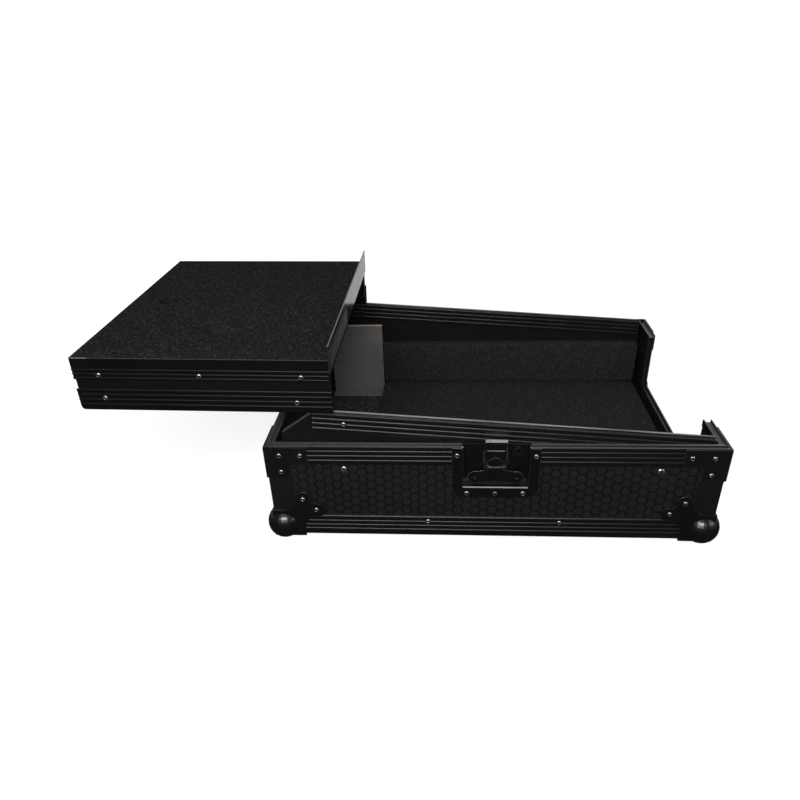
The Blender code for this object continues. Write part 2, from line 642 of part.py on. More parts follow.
def build_foam(base):
    """Foam bed under the mixer, pads along its sides and one on the rear wall."""
    inner = RAIL_INSET + RIDGE + METAL + GAP + BOARD + GAP
    front = BASE_LENGTH - WALL_IN - PAD_FRONT_GAP
    low = FLOOR_TOP + GAP
    bed = block("foam_bed", (BED_REAR_X, inner, low), (front, BASE_WIDTH - inner, BED_TOP), "foam")
    put(bed, base)
    for name, y in (("near", inner), ("far", BASE_WIDTH - inner - SIDE_PAD)):
        pad = block(f"foam_{name}", (BED_REAR_X, 0.0, BED_TOP + GAP), (front, SIDE_PAD, SIDE_PAD_TOP), "foam")
        put(pad, base, (0.0, y, 0.0))
    across = WALL_IN + GAP + REAR_PAD_MARGIN
    rear = block("foam_rear", (0.0, across, low), (REAR_PAD, BASE_WIDTH - across, REAR_PAD_TOP), "foam")
    wide = HANDLE_HALF + METAL + 2.0 * GAP
    tall = HANDLE_HALF_HEIGHT + METAL + 2.0 * GAP
    tool = block("handle_room", (-0.01, CENTRE_Y - wide, HANDLE_Z - tall),
                 (0.02, CENTRE_Y + wide, HANDLE_Z + tall))
    put(cut(rear, tool), base, (WALL_IN + GAP, 0.0, 0.0))


def dish(name, half, down, up, depth, flange_outline, finish):
    """Pressed dish: a flange on the wall's face and a recess through it, open towards -y."""
    face = RIDGE
    made = slab(name, flange_outline, face, face + METAL, "y", finish)
    join(made, block("cup", (-half - METAL, face, -down - METAL), (half + METAL, depth + METAL, up)))
    return made


def build_latch_dish(frame, name):
    """Recess of one latch, open at the rim, with guides for the hook plate and a padlock eyelet."""
    rim = BASE_HEIGHT - LATCH_Z
    shoulder = rim - METAL - GAP
    low = -FLANGE_DOWN + FLANGE_ROUND
    side = FLANGE_HALF - FLANGE_ROUND
    outline = arc((-side, low), FLANGE_ROUND, 180.0, 270.0, 6) + arc((side, low), FLANGE_ROUND, 270.0, 360.0, 6)
    outline += [(FLANGE_HALF, shoulder), (-FLANGE_HALF, shoulder)]
    made = dish(name, DISH_HALF, DISH_DOWN, rim, DISH_DEPTH, outline, "black_steel")
    cut(made, block("recess", (-DISH_HALF, -0.01, -DISH_DOWN), (DISH_HALF, DISH_DEPTH, rim + 0.01)))
    inner = HOOK_HALF + GAP
    left = block("guide_left", (-inner - GUIDE_WIDTH, DISH_DEPTH - GUIDE_HEIGHT, GUIDE_LOW),
                 (-inner, DISH_DEPTH + METAL / 2.0, GUIDE_HIGH))
    right = block("guide_right", (inner, DISH_DEPTH - GUIDE_HEIGHT, GUIDE_LOW),
                  (inner + GUIDE_WIDTH, DISH_DEPTH + METAL / 2.0, GUIDE_HIGH))
    boss = cylinder("eyelet", EYELET_RADIUS, (EYELET_X, DISH_DEPTH - EYELET_HEIGHT, EYELET_Z),
                    (EYELET_X, DISH_DEPTH + METAL / 2.0, EYELET_Z), 20)
    join(made, left, right, boss)
    bore = cylinder("eyelet_bore", EYELET_BORE, (EYELET_X, 0.0, EYELET_Z),
                    (EYELET_X, DISH_DEPTH + 0.01, EYELET_Z), 16)
    shaft = cylinder("shaft_bore", CAM_SHAFT + SLEEVE_GAP, (0.0, 0.0, 0.0), (0.0, DISH_DEPTH + 0.01, 0.0), 20)
    return put(cut(made, bore, shaft), frame)


def build_hook(frame, name):
    """Hook plate: a claw over the rim, and a window that the cam's eccentric moves it by."""
    back = DISH_DEPTH - HOOK_BACK_GAP
    face = back - HOOK_THICK
    front = face - HOOK_LIP
    outline = [(back, -HOOK_DOWN), (back, HOOK_UP), (front, HOOK_UP), (front, HOOK_UP - HOOK_CLAW),
               (front + HOOK_THICK, HOOK_UP - HOOK_CLAW), (front + HOOK_THICK, HOOK_UP - HOOK_THICK),
               (face, HOOK_UP - HOOK_THICK), (face, -HOOK_DOWN)]
    made = slab(name, outline, -HOOK_HALF, HOOK_HALF, "x", "black_steel")
    across = ECCENTRIC_RADIUS + CAM_OFFSET + GAP
    tall = ECCENTRIC_RADIUS + CAM_PLAY
    window = block("window", (-across, face - 0.001, CAM_OFFSET - tall), (across, back + 0.001, CAM_OFFSET + tall))
    slot = block("slot", (-HOOK_SLOT / 2.0, face - 0.001, HOOK_SLOT_Z - HOOK_THICK / 2.0),
                 (HOOK_SLOT / 2.0, back + 0.001, HOOK_SLOT_Z + HOOK_THICK / 2.0))
    return put(cut(made, window, slot), frame)


def build_cam(frame, name):
    """Cam: a face disc with lugs for the butterfly, and an eccentric behind it on the shaft."""
    rear = DISH_DEPTH - GAP
    disc_back = CAM_FRONT + CAM_DISC
    made = cylinder(name, CAM_RADIUS, (0.0, CAM_FRONT, 0.0), (0.0, disc_back, 0.0), 32, "black_steel")
    eccentric = cylinder("eccentric", ECCENTRIC_RADIUS, (0.0, disc_back - 0.0002, CAM_OFFSET),
                         (0.0, rear, CAM_OFFSET), 24)
    shaft = cylinder("shaft", CAM_SHAFT, (0.0, CAM_FRONT + 0.0005, 0.0), (0.0, DISH_DEPTH + METAL, 0.0), 20)
    low = BARREL_HALF + GAP
    lugs = []
    for sign in (-1.0, 1.0):
        ends = sorted((sign * low, sign * (low + LUG_WIDTH)))
        lugs.append(block("lug", (ends[0], BARREL_DEPTH - LUG_HALF, -LUG_HALF),
                          (ends[1], CAM_FRONT + 0.0005, LUG_HALF)))
    join(made, eccentric, shaft, *lugs)
    pin = cylinder("pin_bore", BUTTERFLY_PIN + SLEEVE_GAP, (-CAM_RADIUS, BARREL_DEPTH, 0.0),
                   (CAM_RADIUS, BARREL_DEPTH, 0.0), 12)
    return put(cut(made, pin), frame)


def wing_outline():
    """Outline of the butterfly in (x, z) with the pin at zero and the wings hanging below it."""
    hub = BARREL_HALF
    neck = LUG_HALF + WING_THICK
    centre = (WING_LOBE_X, -WING_LOBE_Z)
    right = [(hub, 0.0), (hub, -neck)]
    right += arc(centre, WING_LOBE, 102.0, -112.0, 11)
    right.append((hub, -WING_LOBE_Z - WING_LOBE * 0.75))
    left = [(-x, z) for x, z in reversed(right)]
    return right + left


def build_butterfly(frame, name):
    """Butterfly: two wings on one barrel, whose pins turn in the cam's lugs."""
    half = WING_THICK / 2.0
    made = slab(name, wing_outline(), -half, half, "y", "black_steel")
    barrel = cylinder("barrel", BARREL_RADIUS, (-BARREL_HALF, 0.0, 0.0), (BARREL_HALF, 0.0, 0.0), 12)
    reach = BARREL_HALF + GAP + LUG_WIDTH
    pin = cylinder("pin", BUTTERFLY_PIN, (-reach, 0.0, 0.0), (reach, 0.0, 0.0), 12)
    join(made, barrel, pin)
    holes = []
    for sign in (-1.0, 1.0):
        x = sign * WING_LOBE_X
        holes.append(cylinder("wing_hole", WING_HOLE, (x, -0.01, -WING_LOBE_Z), (x, 0.01, -WING_LOBE_Z), 12))
    return put(cut(made, *holes), frame, (0.0, BARREL_DEPTH, 0.0))


def build_latches(sides):
    """The two latches, one in each long wall, in the unlatched state."""
    for which, along in (("near", LATCH_X), ("far", BASE_LENGTH - LATCH_X)):
        frame = empty(f"latch_{which}_frame", sides[which], (along, 0.0, LATCH_Z))
        build_latch_dish(frame, f"latch_dish_{which}")
        build_hook(frame, f"latch_hook_{which}")
        build_cam(frame, f"latch_cam_{which}")
        build_butterfly(frame, f"latch_butterfly_{which}")


def build_handle(sides):
    """Recessed handle in the middle of the rear wall: a dish and a bail on two pins."""
    frame = empty("handle_frame", sides["rear"], (CENTRE_Y, 0.0, HANDLE_Z))
    wide = HANDLE_HALF + METAL + HANDLE_FLANGE
    tall = HANDLE_HALF_HEIGHT + METAL + HANDLE_FLANGE
    outline = [(-wide, -tall), (wide, -tall), (wide, tall), (-wide, tall)]
    made = dish("handle_dish", HANDLE_HALF, HANDLE_HALF_HEIGHT, HANDLE_HALF_HEIGHT + METAL, HANDLE_DEPTH,
                outline, "black_steel")
    recess = block("recess", (-HANDLE_HALF, -0.01, -HANDLE_HALF_HEIGHT),
                   (HANDLE_HALF, HANDLE_DEPTH, HANDLE_HALF_HEIGHT))
    reach = HANDLE_HALF + METAL + 0.001
    pins = cylinder("pin_bores", BAIL_ROD + SLEEVE_GAP, (-reach, BAIL_DEPTH, BAIL_PIVOT_Z),
                    (reach, BAIL_DEPTH, BAIL_PIVOT_Z), 20)
    put(cut(made, recess, pins), frame)
    arm = HANDLE_HALF - BAIL_SIDE_GAP - BAIL_ROD
    end = HANDLE_HALF + METAL - GAP
    bend = BAIL_BEND
    path = [(-end, 0.0)] + arc((-arm - bend, -bend), bend, 90.0, 0.0, 5)
    path += arc((-arm + bend, -BAIL_DROP + bend), bend, 180.0, 270.0, 5)
    path += [(-x, z) for x, z in reversed(path)]
    bail = tube("handle_bail", path, BAIL_ROD, 14, "rubber")
    grip = arm - bend - 0.001
    join(bail, cylinder("grip", BAIL_GRIP, (-grip, 0.0, -BAIL_DROP), (grip, 0.0, -BAIL_DROP), 20))
    put(bail, frame, (0.0, BAIL_DEPTH, BAIL_PIVOT_Z))


def build_shoes(base):
    """Glide shoes: short tongues that rock on the rails' rear ends and carry the shelf."""
    half = SHOE_LENGTH / 2.0
    top = SHELF_GROOVE_DEPTH + RUNNING_GAP - GAP
    low = GAP
    outline = [(-half, low + SHOE_CROWN), (0.0, low), (half, low + SHOE_CROWN), (half, top - GAP / 2.0),
               (half - 0.0006, top), (-half + 0.0006, top), (-half, top - GAP / 2.0)]
    middle = RAIL_INSET + RAIL_WIDTH / 2.0
    for name, y in (("near", middle), ("far", BASE_WIDTH - middle)):
        shoe = slab(f"glide_shoe_{name}", outline, -SHOE_WIDTH / 2.0, SHOE_WIDTH / 2.0, "y", "nylon")
        put(shoe, base, (PIVOT_X, y, PIVOT_Z), (0.0, SHELF_TILT, 0.0))


def shelf_sides(shelf):
    """Empties on the shelf's outer planes, as for the base's sides."""
    rear = -SHELF_REAR
    return {
        "near": empty("shelf_near_side", shelf, (rear, 0.0, 0.0)),
        "far": empty("shelf_far_side", shelf, (SHELF_FRONT, SHELF_WIDTH, 0.0), (0.0, 0.0, math.pi)),
        "rear": empty("shelf_rear_side", shelf, (rear, SHELF_WIDTH, 0.0), (0.0, 0.0, math.radians(270.0))),
    }


def end_rounding(which):
    """Cutter that rounds a foot trim's lower rear corner."""
    size = SHELF_FOOT_ROUND
    outline = [(-0.01, -0.01), (size, -0.01)] + arc((size, size), size, 270.0, 180.0, 6) + [(-0.01, size)]
    if which == "far":
        outline = [(SHELF_LENGTH - x, z) for x, z in reversed(outline)]
    return slab("end_rounding", outline, -0.01, 0.03, "y")


def build_shelf(base):
    """Laptop shelf: a board with foam on it, two side walls on foot trims, edge trims and a front lip."""
    lift = Vector((math.sin(SHELF_TILT), 0.0, math.cos(SHELF_TILT))) * RUNNING_GAP
    start = Vector((PIVOT_X, RAIL_INSET, PIVOT_Z)) + lift
    shelf = empty("shelf_frame", base, start, (0.0, SHELF_TILT, 0.0))
    sides = shelf_sides(shelf)
    front_face = SHELF_FRONT - LIP_THICK - GAP
    board_top = SHELF_HEIGHT - METAL - GAP
    board_low = board_top - BOARD
    rear = -SHELF_REAR + WALL_OUT
    board = block("shelf_board", (rear, WALL_OUT, board_low), (front_face, SHELF_WIDTH - WALL_OUT, board_top),
                  "plywood")
    hole_x = -SHELF_REAR + SHELF_HOLE_X
    hole_y = SHELF_WIDTH / 2.0
    put(cut(board, cylinder("hole", SHELF_HOLE, (hole_x, hole_y, 0.0), (hole_x, hole_y, 0.2), 28)), shelf)
    inset = SHELF_EDGE_RETURN + SHELF_FOAM_INSET
    foam_low = board_top + GAP
    foam = block("shelf_foam", (-SHELF_REAR + inset, inset, foam_low),
                 (front_face - GAP, SHELF_WIDTH - inset, foam_low + SHELF_FOAM), "shelf_foam")
    put(cut(foam, cylinder("hole", SHELF_HOLE, (hole_x, hole_y, 0.0), (hole_x, hole_y, 0.2), 28)), shelf)
    wall_low = SHELF_GROOVE_DEPTH + METAL + GAP
    wall_long = SHELF_LENGTH - WALL_OUT - LIP_THICK - GAP
    edge_low = SHELF_HEIGHT - SHELF_EDGE_LEG
    long_edge = SHELF_LENGTH - LIP_THICK - GAP
    for which in ("near", "far"):
        first = WALL_OUT if which == "near" else LIP_THICK + GAP
        wall = block(f"shelf_wall_{which}", (0.0, 0.0, 0.0), (wall_long, BOARD, board_low - GAP - wall_low),
                     "laminate")
        put(wall, sides[which], (first, WALL_OUT, wall_low))
        foot = extrusion(f"shelf_foot_trim_{which}", shelf_foot_profile(), SHELF_LENGTH)
        put(cut(foot, end_rounding(which)), sides[which])
        mitres = (1.0, 0.0) if which == "near" else (0.0, 1.0)
        shift = 0.0 if which == "near" else LIP_THICK + GAP
        put(extrusion(f"shelf_edge_trim_{which}", shelf_edge_profile(), long_edge, mitres), sides[which],
            (shift, 0.0, edge_low))
    put(extrusion("shelf_edge_trim_rear", shelf_edge_profile(), SHELF_WIDTH, (1.0, 1.0)), sides["rear"],
        (0.0, 0.0, edge_low))
    lip = block("shelf_lip", (0.0, 0.0, -LIP_DOWN), (LIP_THICK, SHELF_WIDTH, LIP_UP), "black_aluminium")
    rounding = lip.modifiers.new("edge", "BEVEL")
    rounding.width = 0.0004
    rounding.segments = 2
    put(lip, shelf, (SHELF_FRONT - LIP_THICK, 0.0, SHELF_HEIGHT))
    trim = extrusion("shelf_lip_trim", lip_trim_profile(), LIP_TRIM_LENGTH)
    across = SHELF_FRONT + GAP + RIDGE + METAL
    put(trim, shelf, (across, 0.0, SHELF_HEIGHT - LIP_DOWN), (0.0, 0.0, math.radians(90.0)))


def build():
    """Builds the whole case."""
    clear_scene()
    base = empty("base_frame", None, (-CENTRE_X, -CENTRE_Y, FOOT_HEIGHT))
    sides = {which: side(base, f"{which}_side", which) for which in ("near", "front", "far", "rear")}
    build_boards(base, sides)
    build_rims(sides)
    build_bottom_trims(sides)
    build_corner_angles(sides)
    build_ball_corners(sides)
    build_feet(base)
    build_risers(base)
    build_foam(base)
    build_latches(sides)
    build_handle(sides)
    build_shoes(base)
    build_shelf(base)
    for piece in bpy.data.objects:
        if piece.type == "MESH":
            piece.data.shade_smooth()
            piece.data.set_sharp_from_angle(angle=math.radians(SMOOTH_ANGLE))


if __name__ == "__main__":
    build()
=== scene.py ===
"""Looks of the flight case: finishes, rivets, braces, linings, foam, studio and camera."""

import logging
import math
from dataclasses import dataclass, field, replace
from enum import Enum
from typing import Callable, Iterable, Mapping, Optional, Sequence, Union

import bpy
import numpy as np
from mathutils import Matrix, Vector


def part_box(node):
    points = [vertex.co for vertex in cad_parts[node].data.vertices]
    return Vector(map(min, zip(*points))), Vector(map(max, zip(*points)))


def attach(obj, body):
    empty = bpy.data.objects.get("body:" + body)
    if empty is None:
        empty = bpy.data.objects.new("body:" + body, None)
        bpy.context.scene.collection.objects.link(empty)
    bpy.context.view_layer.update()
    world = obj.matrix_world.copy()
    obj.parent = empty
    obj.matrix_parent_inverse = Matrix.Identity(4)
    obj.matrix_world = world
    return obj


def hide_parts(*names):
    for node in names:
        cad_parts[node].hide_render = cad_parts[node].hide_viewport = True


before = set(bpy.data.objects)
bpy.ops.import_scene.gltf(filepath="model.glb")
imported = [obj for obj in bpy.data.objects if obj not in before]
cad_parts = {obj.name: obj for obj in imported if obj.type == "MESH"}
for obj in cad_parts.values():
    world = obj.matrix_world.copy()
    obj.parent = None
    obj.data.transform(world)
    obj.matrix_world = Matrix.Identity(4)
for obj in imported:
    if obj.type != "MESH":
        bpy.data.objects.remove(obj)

LOG = logging.getLogger("flight_case")
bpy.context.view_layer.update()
MM = 0.001

# Sizes in mm, measured from the base's rear near lower corner. CENTRE is where the row frame's origin lies
LENGTH, WIDTH, HEIGHT = 576.0, 418.0, 141.0
FOOT = 9.0
CENTRE = (178.857, 209.0)
BOARD = 9.0
RAIL_INSET = 12.6
RAIL_WALL = 1.9
RAIL_SLOPE = math.radians(4.22)
RAIL_START = (64.0, 182.3)
TONGUE_HEIGHT = 2.0
TONGUE_PLANE = ((RAIL_START[0] - CENTRE[0]) * math.sin(RAIL_SLOPE)
                + (RAIL_START[1] + FOOT) * math.cos(RAIL_SLOPE) + TONGUE_HEIGHT) * MM
RISER_INSIDE = RAIL_INSET + RAIL_WALL + BOARD
BRACE_THICK = 1.2

# Sizes of the shelf in mm, measured from its pivot (x and z in the base), its near side and its foot trims
PIVOT = (70.482, 181.822)
SHELF_TILT = math.radians(0.84)
SHELF_LIFT = 0.8
SHELF_REAR, SHELF_FRONT = 301.0, 20.5
SHELF_WIDTH, SHELF_HEIGHT = 392.8, 72.0
SHELF_WORN_BAND = 0.7

# Gap in mm that keeps a thin piece off the face that it lies on
SLEEVE = 0.05


class Body(str, Enum):
    """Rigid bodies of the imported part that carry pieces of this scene."""

    BASE = "base"
    SHELF = "shelf"


class Slot(str, Enum):
    """Material slots of the record; the linings' layout names one for each of its pieces."""

    LAMINATE = "laminate"
    STEEL = "black_steel"
    RUBBER = "rubber"
    FOAM = "foam"
    SHELF_FOAM = "shelf_foam"


def base_matrix() -> Matrix:
    """Place of the base's own frame, in mm, in the row frame.

    Returns:
        The matrix from the base's millimetres to metres in the row frame.
    """
    shift = Matrix.Translation((-CENTRE[0] * MM, -CENTRE[1] * MM, FOOT * MM))
    return shift @ Matrix.Scale(MM, 4)


def shelf_matrix() -> Matrix:
    """Place of the shelf's own frame: x from the pivot, y from its near side, z from its foot trims.

    Returns:
        The matrix from the shelf's millimetres to metres in the row frame.
    """
    lift = Vector((math.sin(SHELF_TILT), 0.0, math.cos(SHELF_TILT))) * SHELF_LIFT
    start = Vector((PIVOT[0], RAIL_INSET, PIVOT[1])) + lift
    return base_matrix() @ Matrix.Translation(start) @ Matrix.Rotation(SHELF_TILT, 4, "Y")


def shelf_plane(height: float) -> tuple:
    """Plane across the shelf at a height of its own frame.

    Args:
        height: the height in mm.

    Returns:
        The plane (nx, ny, nz, d) in metres, n p = d on it.
    """
    matrix = shelf_matrix()
    normal = (matrix.to_3x3() @ Vector((0.0, 0.0, 1.0))).normalized()
    return (*normal, normal.dot(matrix @ Vector((0.0, 0.0, height))))


# Shader graphs

Value = Union[float, Sequence[float], bpy.types.NodeSocket]


class Graph:
    """Short way to write a node tree."""

    def __init__(self, tree: bpy.types.NodeTree) -> None:
        """Keeps the tree.

        Args:
            tree: node tree to fill.
        """
        self.tree = tree

    def add(self, kind: str, props: Optional[dict] = None, **inputs: Value) -> bpy.types.Node:
        """Adds a node and feeds its inputs.

        Args:
            kind: node type without its ShaderNode prefix.
            props: attributes to set on the node.
            inputs: values or sockets by input name, with _ for a space, or i0, i1, ... by position.

        Returns:
            The new node.
        """
        node = self.tree.nodes.new("ShaderNode" + kind)
        for key, value in (props or {}).items():
            setattr(node, key, value)
        for key, value in inputs.items():
            positional = key[0] == "i" and key[1:].isdigit()
            target = node.inputs[int(key[1:])] if positional else node.inputs[key.replace("_", " ")]
            if isinstance(value, bpy.types.NodeSocket):
                self.tree.links.new(value, target)
            else:
                target.default_value = value
        return node

    def math(self, operation: str, *values: Value, clamp: bool = False) -> bpy.types.NodeSocket:
        """Adds a math node.

        Args:
            operation: its operation.
            values: one to three numbers or sockets.
            clamp: whether the result stays from 0 to 1.

        Returns:
            Its result.
        """
        inputs = {f"i{index}": value for index, value in enumerate(values)}
        return self.add("Math", {"operation": operation, "use_clamp": clamp}, **inputs).outputs[0]

    def vector(self, operation: str, *values: Value) -> bpy.types.Node:
        """Adds a vector math node.

        Args:
            operation: its operation.
            values: vectors or sockets.

        Returns:
            The node.
        """
        inputs = {f"i{index}": value for index, value in enumerate(values)}
        return self.add("VectorMath", {"operation": operation}, **inputs)

    def ramp(self, value: bpy.types.NodeSocket, low: float, high: float) -> bpy.types.NodeSocket:
        """Smooth step from 0 at low to 1 at high.

        Args:
            value: socket to map.
            low: value that gives 0.
            high: value that gives 1.

        Returns:
            The mapped value.
        """
        node = self.add("MapRange", {"interpolation_type": "SMOOTHSTEP"}, Value=value, From_Min=low,
                        From_Max=high)
        return node.outputs[0]

    def mix(self, factor: Value, first: Value, second: Value) -> bpy.types.NodeSocket:
        """Mixes two colours.

        Args:
            factor: number or socket.
            first: colour or socket at 0.
            second: colour or socket at 1.

        Returns:
            The mixed colour.
        """
        node = self.add("Mix", {"data_type": "RGBA"}, i0=factor, i6=first, i7=second)
        return node.outputs[2]

    def blend(self, factor: Value, first: Value, second: Value) -> bpy.types.NodeSocket:
        """Mixes two numbers.

        Args:
            factor: number or socket.
            first: number or socket at 0.
            second: number or socket at 1.

        Returns:
            The mixed number.
        """
        return self.add("Mix", i0=factor, i2=first, i3=second).outputs[0]

    def times(self, first: Value, second: Value) -> bpy.types.NodeSocket:
        """Returns the product of two numbers or sockets."""
        return self.math("MULTIPLY", first, second)

    def plus(self, first: Value, second: Value) -> bpy.types.NodeSocket:
        """Returns the sum of two numbers or sockets."""
        return self.math("ADD", first, second)

    def minus(self, first: Value, second: Value) -> bpy.types.NodeSocket:
        """Returns the first number or socket less the second."""
        return self.math("SUBTRACT", first, second)

    def unsigned(self, value: Value) -> bpy.types.NodeSocket:
        """Returns a socket's value without its sign."""
        return self.math("ABSOLUTE", value)

    def place(self) -> bpy.types.NodeSocket:
        """Returns the object coordinates in metres."""
        return self.add("TexCoord").outputs["Object"]

    def face_normal(self) -> bpy.types.NodeSocket:
        """Returns the normal of the flat face."""
        return self.add("NewGeometry").outputs["True Normal"]

    def axes(self, vector: bpy.types.NodeSocket) -> Sequence[bpy.types.NodeSocket]:
        """Returns a vector's parts along X, Y and Z."""
        return self.add("SeparateXYZ", i0=vector).outputs

    def noise(self, place: bpy.types.NodeSocket, scale: Value, detail: float,
              **more: Value) -> bpy.types.NodeSocket:
        """Noise from about 0 to 1.

        Args:
            place: where it is read.
            scale: number or socket, how fine it is in cells per metre.
            detail: how many finer layers it has.
            more: other inputs of the noise.

        Returns:
            Its value.
        """
        return self.add("TexNoise", Vector=place, Scale=scale, Detail=detail, **more).outputs[0]


FLOAT, VECTOR = "NodeSocketFloat", "NodeSocketVector"
Sockets = Mapping[str, bpy.types.NodeSocket]


@dataclass(frozen=True)
class Effect:
    """Shader node group that several finishes share, with named inputs and outputs.

    Attributes:
        name: the group's name.
        inputs: socket type and default of each input by name.
        outputs: socket type of each output by name.
        fill: builds the inside from the input sockets and returns the output sockets by name.
    """

    name: str
    inputs: dict
    outputs: dict
    fill: Callable[[Graph, Sockets], Sockets]

    def tree(self) -> bpy.types.NodeTree:
        """Makes the group once.

        Returns:
            The node group.
        """
        found = bpy.data.node_groups.get(self.name)
        if found is not None:
            return found
        tree = bpy.data.node_groups.new(self.name, "ShaderNodeTree")
        for title, (kind, default) in self.inputs.items():
            tree.interface.new_socket(title, in_out="INPUT", socket_type=kind).default_value = default
        for title, kind in self.outputs.items():
            tree.interface.new_socket(title, in_out="OUTPUT", socket_type=kind)
        start = tree.nodes.new("NodeGroupInput").outputs
        end = tree.nodes.new("NodeGroupOutput").inputs
        results = self.fill(Graph(tree), {title: start[title] for title in self.inputs})
        for title, value in results.items():
            tree.links.new(value, end[title])
        return tree

    def on(self, graph: Graph, **inputs: Value) -> Sockets:
        """Places the group in a finish.

        Args:
            graph: the finish's graph.
            inputs: values or sockets by input name.

        Returns:
            The group's outputs.
        """
        return graph.add("Group", {"node_tree": self.tree()}, **inputs).outputs


def plane_coordinates(graph: Graph) -> tuple:
    """Object coordinates in mm laid onto the side, end or top that a face belongs to.

    A face is an end or a top where its normal's part along X or Z is over 0.6.

    Args:
        graph: graph to add to.

    Returns:
        The coordinates along and across the face.
    """
    scaled = graph.vector("SCALE", graph.place())
    scaled.inputs["Scale"].default_value = 1.0 / MM
    x, y, z = graph.axes(scaled.outputs[0])
    normal = graph.axes(graph.face_normal())
    steep = 0.6
    faces_end = graph.math("GREATER_THAN", graph.unsigned(normal[0]), steep)
    faces_up = graph.math("GREATER_THAN", graph.unsigned(normal[2]), steep)
    return graph.blend(faces_end, x, y), graph.blend(faces_up, z, y)


def fill_hexes(graph: Graph, sockets: Sockets) -> Sockets:
    """Hexagons with flat tops in two interleaved lattices of spacing (3R, sqrt(3) R).

    A point's distance from a cell's centre is max(|y|, |x| sqrt(3)/2 + |y|/2), which reaches
    sqrt(3)/2 R on its border.

    Args:
        graph: the group's graph.
        sockets: its inputs.

    Returns:
        Raised height, groove mask and a random value for each cell.
    """
    along, across = plane_coordinates(graph)
    radius = sockets["Radius"]
    wide, tall = graph.times(radius, 3.0), graph.times(radius, math.sqrt(3.0))

    def from_centre(value: Value, pitch: Value, share: float) -> bpy.types.NodeSocket:
        """Distance from the nearest centre along one axis.

        Args:
            value: coordinate in mm.
            pitch: distance between centres.
            share: part of the pitch by which the lattice is moved.

        Returns:
            The distance with its sign.
        """
        moved = graph.plus(value, graph.times(pitch, share))
        return graph.minus(graph.math("FLOORED_MODULO", moved, pitch), graph.times(pitch, 0.5))

    x0, y0 = from_centre(along, wide, 0.0), from_centre(across, tall, 0.0)
    x1, y1 = from_centre(along, wide, 0.5), from_centre(across, tall, 0.5)
    far0, far1 = (graph.plus(graph.times(x, x), graph.times(y, y)) for x, y in ((x0, y0), (x1, y1)))
    in_second = graph.math("LESS_THAN", far1, far0)
    x, y = graph.blend(in_second, x0, x1), graph.blend(in_second, y0, y1)
    slant = graph.plus(graph.times(graph.unsigned(x), math.sqrt(0.75)), graph.times(graph.unsigned(y), 0.5))
    out = graph.math("MAXIMUM", graph.unsigned(y), slant)
    raised = graph.ramp(graph.minus(graph.times(radius, math.sqrt(0.75)), out), 0.30, 1.55)
    cell = graph.add("CombineXYZ", i0=graph.math("ROUND", graph.minus(along, x)),
                     i1=graph.math("ROUND", graph.minus(across, y)))
    random = graph.add("TexWhiteNoise", Vector=cell.outputs[0]).outputs["Value"]
    return {"Height": raised, "Groove": graph.minus(1.0, raised), "Cell": random}


def fill_wear_and_sheen(graph: Graph, sockets: Sockets) -> Sockets:
    """Edges scuffed bright, which also paints highlights on ridges and edges: one minus the dot of the
    bevelled and the flat normal, broken up by noise.

    Args:
        graph: the group's graph.
        sockets: its inputs.

    Returns:
        The wear mask and the bevelled normal.
    """
    bevelled = graph.add("Bevel", {"samples": 6}, Radius=sockets["Radius"]).outputs[0]
    geometry = graph.add("NewGeometry").outputs
    dot = graph.vector("DOT_PRODUCT", bevelled, geometry["Normal"]).outputs["Value"]
    convex = graph.ramp(geometry["Pointiness"], 0.500, 0.530)
    edge = graph.times(graph.ramp(graph.minus(1.0, dot), 0.003, 0.08), convex)
    place = graph.place()
    patchy = graph.times(graph.ramp(graph.noise(place, scale=420.0, detail=4.0), 0.22, 0.58),
                         graph.ramp(graph.noise(place, scale=26.0, detail=3.0), 0.15, 0.62))
    mask = graph.math("MULTIPLY", graph.times(edge, patchy), sockets["Amount"], clamp=True)
    return {"Mask": mask, "Normal": bevelled}


def fill_grain(graph: Graph, sockets: Sockets) -> Sockets:
    """Fine grain stretched by a vector, broad clouds, and scratches where the clouds are thick.

    Args:
        graph: the group's graph.
        sockets: its inputs.

    Returns:
        A height, a cloudy value and a scratch mask.
    """
    place = graph.place()
    stretched = graph.vector("MULTIPLY", place, sockets["Stretch"]).outputs[0]
    fine = graph.noise(stretched, sockets["Scale"], detail=5.0, Roughness=0.62)
    cloud = graph.noise(place, scale=17.0, detail=4.0)
    flattened = graph.vector("MULTIPLY", place, (0.35, 0.35, 6.0)).outputs[0]
    streak = graph.noise(flattened, scale=300.0, detail=2.0)
    scratch = graph.times(graph.ramp(streak, 0.66, 0.74), graph.ramp(cloud, 0.50, 0.72))
    return {"Height": fine, "Cloud": cloud, "Scratch": scratch}


def fill_dust(graph: Graph, sockets: Sockets) -> Sockets:
    """Dust that lies on faces that look up, in flecks and a thin film.

    Args:
        graph: the group's graph.
        sockets: its inputs.

    Returns:
        The dust mask.
    """
    up = graph.axes(graph.add("NewGeometry").outputs["Normal"])[2]
    place = graph.place()
    flecks = graph.add("TexVoronoi", Vector=place, Scale=260.0, Randomness=1.0).outputs
    random = graph.add("TexWhiteNoise", Vector=flecks["Position"]).outputs["Value"]
    fleck = graph.math("LESS_THAN", flecks["Distance"], graph.times(random, 0.16))
    rare = graph.times(fleck, graph.math("GREATER_THAN", random, 0.72))
    film = graph.times(graph.noise(place, scale=9.0, detail=6.0), 0.25)
    level = graph.times(graph.plus(rare, film), graph.ramp(up, 0.35, 0.95))
    return {"Mask": graph.math("MULTIPLY", level, sockets["Amount"], clamp=True)}


